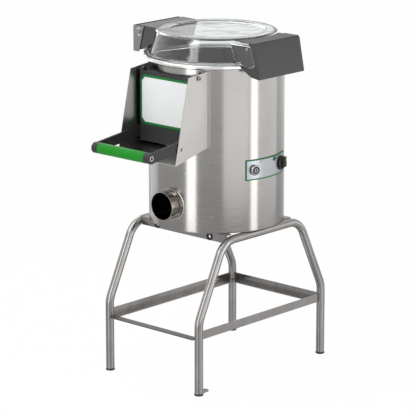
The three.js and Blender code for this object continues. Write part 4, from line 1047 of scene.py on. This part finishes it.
class PEELER_OT_chamber(PeelerOperator):
    """Abrasive plate and liner, catch pan, spindle and belt drive inside the drum"""
    bl_idname = "peeler.chamber"
    bl_label = "Peeling chamber and drive"

    def build(self):
        edged("abrasive_plate", "grit_plate", "peeling_rotor", "abrasive", abrasive_grit, 1.0)
        for finish, nodes in (
                (abrasive_grit, ("chamber_liner",)),
                (drum_steel, ("catch_pan",)),
                (polished_steel, ("spindle", "upper_bearing", "lower_bearing")),
                (cast_aluminium, ("driven_pulley", "motor_pulley", "bearing_housing")),
                (rubber, ("drive_belt",)),
                (motor_enamel, ("motor",))):
            for node in nodes:
                refinished(node, finish)


class PEELER_OT_panel_plate(PeelerOperator):
    """Curved control panel with its green border and indicator mark"""
    bl_idname = "peeler.panel_plate"
    bl_label = "Control panel"

    def sector(self, inset, inner, outer):
        """The panel's shape drawn in by inset, between two distances from the drum's axis."""
        turn = math.degrees(inset / size("drum_radius"))
        start, end = PANEL_FROM + turn, PANEL_TO - turn
        angles = [math.radians(start + (end - start) * k / PANEL_STEPS - 90)
                  for k in range(PANEL_STEPS + 1)]
        outline = [(outer * math.cos(a), outer * math.sin(a)) for a in angles]
        outline += [(inner * math.cos(a), inner * math.sin(a)) for a in reversed(angles)]
        return prism("z", outline, PANEL_BOTTOM + inset, PANEL_BOTTOM + PANEL_HEIGHT - inset)

    def build(self):
        back = size("drum_radius") + SEAT_GAP
        front = back + PANEL_THICKNESS
        border = size("panel_border")
        rim = carved(self.sector(0, back, front),
                     self.sector(border, back - OVERRUN, front + OVERRUN))
        add_piece("panel_border", softened(rim, LABEL_EDGE), "machine", "green_print",
                  printed_green, "panel_frame")
        plate = carved(self.sector(border + SEAT_GAP, back, front), *drilled(PANEL_HOLES))
        add_piece("panel_face", plate, "machine", "pale_plate", panel_film, "panel_plate")
        mark = laid(prism("z", MARK, *MARK_DEPTH), on_drum(*MARK_PLACE))
        add_piece("panel_mark", mark, "machine", "green_print", printed_teal)


class PEELER_OT_controls(PeelerOperator):
    """Push button in its bezel, timer knob with pointer, and the panel lamp"""
    bl_idname = "peeler.controls"
    bl_label = "Button, knob and lamp"

    def build(self):
        self.button(on_drum(*BUTTON_PLACE))
        self.knob(on_drum(*KNOB_PLACE))
        lamp = turned(LAMP, 0.8, on_drum(*LAMP_PLACE))
        add_piece("lamp_lens", lamp, "machine", "cream", lamp_lens, "panel_lamp")

    def button(self, place):
        edge = size("button_radius")
        bore = edge + BUTTON_GAP
        bezel = ((0, -22), (13, -22), (13, PANEL_SEAT), (15.5, PANEL_SEAT), (15.5, BEZEL_TOP - 3),
                 (14, BEZEL_TOP), (bore, BEZEL_TOP), (bore, -19), (0, -19))
        add_piece("button_collar", turned(bezel, 1.2, place), "machine", "polished_steel",
                  drum_steel, "button_bezel")
        face = BUTTON_FACE
        cap = ((0, -14), (edge, -14), (edge, face), (edge - 2.4, face), (edge - 3, face - 1.2),
               (4, face - 1.2), (3.4, face - 0.4), (0, face - 0.4))
        add_piece("button_cap", turned(cap, 0.8, place), "button", "black_plastic",
                  moulded_black, "push_button")
        ring = turned(box_ring(4.4, 5.6, face - 1.3, face - 1.0), 0.1, place, 1)
        add_piece("button_ring", ring, "button", "black_plastic", label_film)

    def knob(self, place):
        radius = size("knob_radius")
        half, top, crown = KNOB_BAR_HALF, KNOB_SKIRT_TOP, KNOB_CROWN
        skirt = turned(((0, -12), (KNOB_SHAFT, -12), (KNOB_SHAFT, PANEL_SEAT),
                        (radius, PANEL_SEAT), (radius, top), (0, top)), 1.6)
        reach = radius - 2
        low = top - 1
        side = rounded([(half + 1, low), (half, crown), (-half, crown), (-half - 1, low)], 2)
        taper = prism("x", [(-reach, top - 2), (reach, top - 2), (reach - 1, crown + 1),
                            (-reach / 2, crown + 1)], -radius, radius)
        bar = carved(prism("y", side, -reach, reach), taper, operation="INTERSECT")
        knob = laid(merged(skirt, softened(bar, 1.0)), place)
        add_piece("knob_body", knob, "knob", "black_plastic", moulded_black, "timer_knob")
        edged("knob_pointer", "knob_pointer_inlay", "knob", "cream", cream_nylon, 0.3)


class PEELER_OT_connections(PeelerOperator):
    """Water inlet and cable gland behind the drum"""
    bl_idname = "peeler.connections"
    bl_label = "Rear connections"

    def build(self):
        inlet = [(5, -22), (8, -22), (8, 0.3), (14, 0.3), (14, 5.3), (8, 5.3)]
        for start in INLET_BARBS:
            inlet += [(8, start), (8, start + 3), (9.5, start + 3.4), (8.2, start + 7.2)]
        inlet += [(7.6, 42), (5, 42)]
        tail = turned(inlet, 0.5, on_drum(*INLET_PLACE), 2)
        add_piece("water_hose_tail", tail, "machine", "polished_steel", polished_steel,
                  "water_inlet")
        gland = turned(GLAND, 0.8, on_drum(*GLAND_PLACE))
        add_piece("cable_seal", gland, "machine", "black_plastic", moulded_black, "cable_gland")


class PEELER_OT_lid(PeelerOperator):
    """Clear formed lid, with its steel lug, bracket, bolt and washer on the left"""
    bl_idname = "peeler.lid"
    bl_label = "Lid and hinge"

    def build(self):
        dome = turned(LID_PROFILE, 4, steps=5, sides=sizes().round_facets)
        add_piece("clear_lid", dome, "lid", "clear_plastic", clear_polycarbonate, "lid_dome",
                  crease=60)
        edged("hinge_bracket", "folded_hinge_bracket", "machine", "drum_steel", bracket_steel,
              size("sheet_edge"))
        edged("hinge_bolt", "hinge_bolt_dressed", "machine", "polished_steel", tube_steel, 0.6)
        low, high = [TO_ROW.inverted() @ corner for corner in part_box("hinge_bolt")]
        middle = (low + high) / 2
        face = low.y + BOLT_HEAD_HEIGHT
        washer = rod("y", WASHER_RADIUS, face - WASHER_THICKNESS, face - WASHER_GAP,
                     (middle.x, middle.z))
        add_piece("hinge_washer", softened(washer, 0.4), "machine", "polished_steel",
                  polished_steel)
        # The hinge lug takes the darker steel: painted shade for the dark reflections on it
        edged("lid_lug_left", "hinge_lug", "lid", "dark_plastic", shade_darkened_steel, size("sheet_edge"))


class PEELER_OT_catch(PeelerOperator):
    """Catch on the right: lug, pin and the moulded cover"""
    bl_idname = "peeler.catch"
    bl_label = "Lid catch"

    def build(self):
        # The lug takes a lighter copy of the cover's grey: painted light against the shade the cover
        # casts on it
        edged("lid_lug_right", "catch_lug", "lid", "dark_plastic", shade_lifted_grey, size("bright_edge"), 3,
              edge_finish=polished_steel)
        edged("latch_pin", "catch_pin", "lid", "polished_steel", tube_steel, 0.5)
        edged("latch_cover", "catch_cover", "latch", "dark_plastic", moulded_grey,
              size("moulded_edge"), 3)


class PEELER_OT_stage(PeelerOperator):
    """Pale floor, white surroundings, studio lamps and the camera"""
    bl_idname = "peeler.stage"
    bl_label = "Stage"

    def build(self):
        self.floor()
        self.world()
        for lamp in LAMPS:
            self.lamp(*lamp)
        self.camera()

    def floor(self):
        material = bpy.data.materials.new("pale_floor")
        tree = empty_tree(material)
        rays = add_node(tree, "LightPath").outputs
        place = add_node(tree, "TexCoord").outputs["Object"]
        away = add_node(tree, "VectorMath", {0: place}, operation="LENGTH").outputs["Value"]
        # Painted shade: the floor as glossy rays see it is dimmer near the drum
        mirrored = remap(tree, away, (0.0, FLOOR_GLOW_REACH), FLOOR_GLOW)
        strength = add_node(tree, "Mix", {0: rays["Is Glossy Ray"], 2: 1.0, 3: mirrored}).outputs[0]
        glow = add_node(tree, "Emission", {"Color": WHITE, "Strength": strength}).outputs["Emission"]
        near = remap(tree, away, SHEEN_REACH, (SHEEN_SHARE, 0.0))
        sheen = calculated(tree, "MULTIPLY", near, rays["Is Glossy Ray"])
        polish = add_node(
            tree, "BsdfGlossy", {"Color": WHITE, "Roughness": SHEEN_ROUGHNESS}).outputs["BSDF"]
        seen = calculated(tree, "MAXIMUM", rays["Is Camera Ray"], rays["Is Glossy Ray"])
        seen = calculated(tree, "MAXIMUM", seen, rays["Is Transmission Ray"])
        share = calculated(tree, "MULTIPLY", seen, FLOOR_WHITE)
        matt = add_node(tree, "BsdfDiffuse", {"Color": linear("#ececec")}).outputs["BSDF"]
        surface = blended(tree, share, matt, blended(tree, sheen, glow, polish))
        add_node(tree, "OutputMaterial", {"Surface": surface})
        bm = bmesh.new()
        bmesh.ops.create_grid(bm, x_segments=1, y_segments=1, size=FLOOR_HALF)
        mesh = take_mesh(bm)
        mesh.materials.append(material)
        put("floor", mesh)

    def world(self):
        world = bpy.data.worlds.new("studio")
        tree = empty_tree(world)
        rays = add_node(tree, "LightPath").outputs
        light, mirrored, white = [
            add_node(tree, "Background", {"Color": WHITE, "Strength": strength}).outputs[0]
            for strength in (WORLD_LIGHT, WORLD_MIRRORED, WORLD_SEEN)]
        seen = calculated(tree, "MAXIMUM", rays["Is Camera Ray"], rays["Is Transmission Ray"])
        unseen = blended(tree, rays["Is Glossy Ray"], light, mirrored)
        add_node(tree, "OutputWorld", {"Surface": blended(tree, seen, unseen, white)})
        bpy.context.scene.world = world

    def lamp(self, name, azimuth, distance, height, width, length, power, aim):
        data = bpy.data.lights.new(name, "AREA")
        data.shape = "RECTANGLE"
        data.size = width
        data.size_y = length
        data.energy = power
        angle = math.radians(azimuth)
        lamp = put(name, data)
        lamp.location = (distance * math.cos(angle), distance * math.sin(angle), height)
        lamp.rotation_euler = (Vector(aim) - lamp.location).to_track_quat("-Z", "Y").to_euler()

    def camera(self):
        data = bpy.data.cameras.new("camera")
        data.lens = CAMERA_LENS
        data.sensor_width = CAMERA_SENSOR
        data.clip_end = CAMERA_REACH
        camera = put("camera", data)
        camera.location = CAMERA_PLACE
        camera.rotation_euler = (CAMERA_AIM - CAMERA_PLACE).to_track_quat("-Z", "Y").to_euler()
        bpy.context.scene.camera = camera


OPERATORS = (
    PEELER_OT_stage, PEELER_OT_stand_tubes, PEELER_OT_stand_rails, PEELER_OT_drum, PEELER_OT_outlet,
    PEELER_OT_chute, PEELER_OT_door, PEELER_OT_handle, PEELER_OT_chamber, PEELER_OT_panel_plate,
    PEELER_OT_controls, PEELER_OT_connections, PEELER_OT_lid, PEELER_OT_catch,
)


class PEELER_PT_sidebar(bpy.types.Panel):
    """Sizes, colours and pieces of the potato peeler"""
    bl_label = "Potato peeler"
    bl_idname = "PEELER_PT_sidebar"
    bl_space_type = "VIEW_3D"
    bl_region_type = "UI"
    bl_category = "Peeler"

    def draw(self, context):
        for group in (context.scene.peeler_sizes, context.scene.peeler_colours):
            for name in group.__annotations__:
                self.layout.prop(group, name)
        for operator in OPERATORS:
            self.layout.operator(operator.bl_idname)


CLASSES = (PeelerSizes, PeelerColours, *OPERATORS, PEELER_PT_sidebar)


def register():
    for cls in CLASSES:
        bpy.utils.register_class(cls)
    bpy.types.Scene.peeler_sizes = bpy.props.PointerProperty(type=PeelerSizes)
    bpy.types.Scene.peeler_colours = bpy.props.PointerProperty(type=PeelerColours)


def unregister():
    del bpy.types.Scene.peeler_colours
    del bpy.types.Scene.peeler_sizes
    for cls in reversed(CLASSES):
        bpy.utils.unregister_class(cls)


def main():
    register()
    bpy.context.scene.view_settings.view_transform = "Standard"
    for operator in OPERATORS:
        group, name = operator.bl_idname.split(".")
        getattr(getattr(bpy.ops, group), name)()
    bpy.context.view_layer.update()


if __name__ == "__main__":
    main()
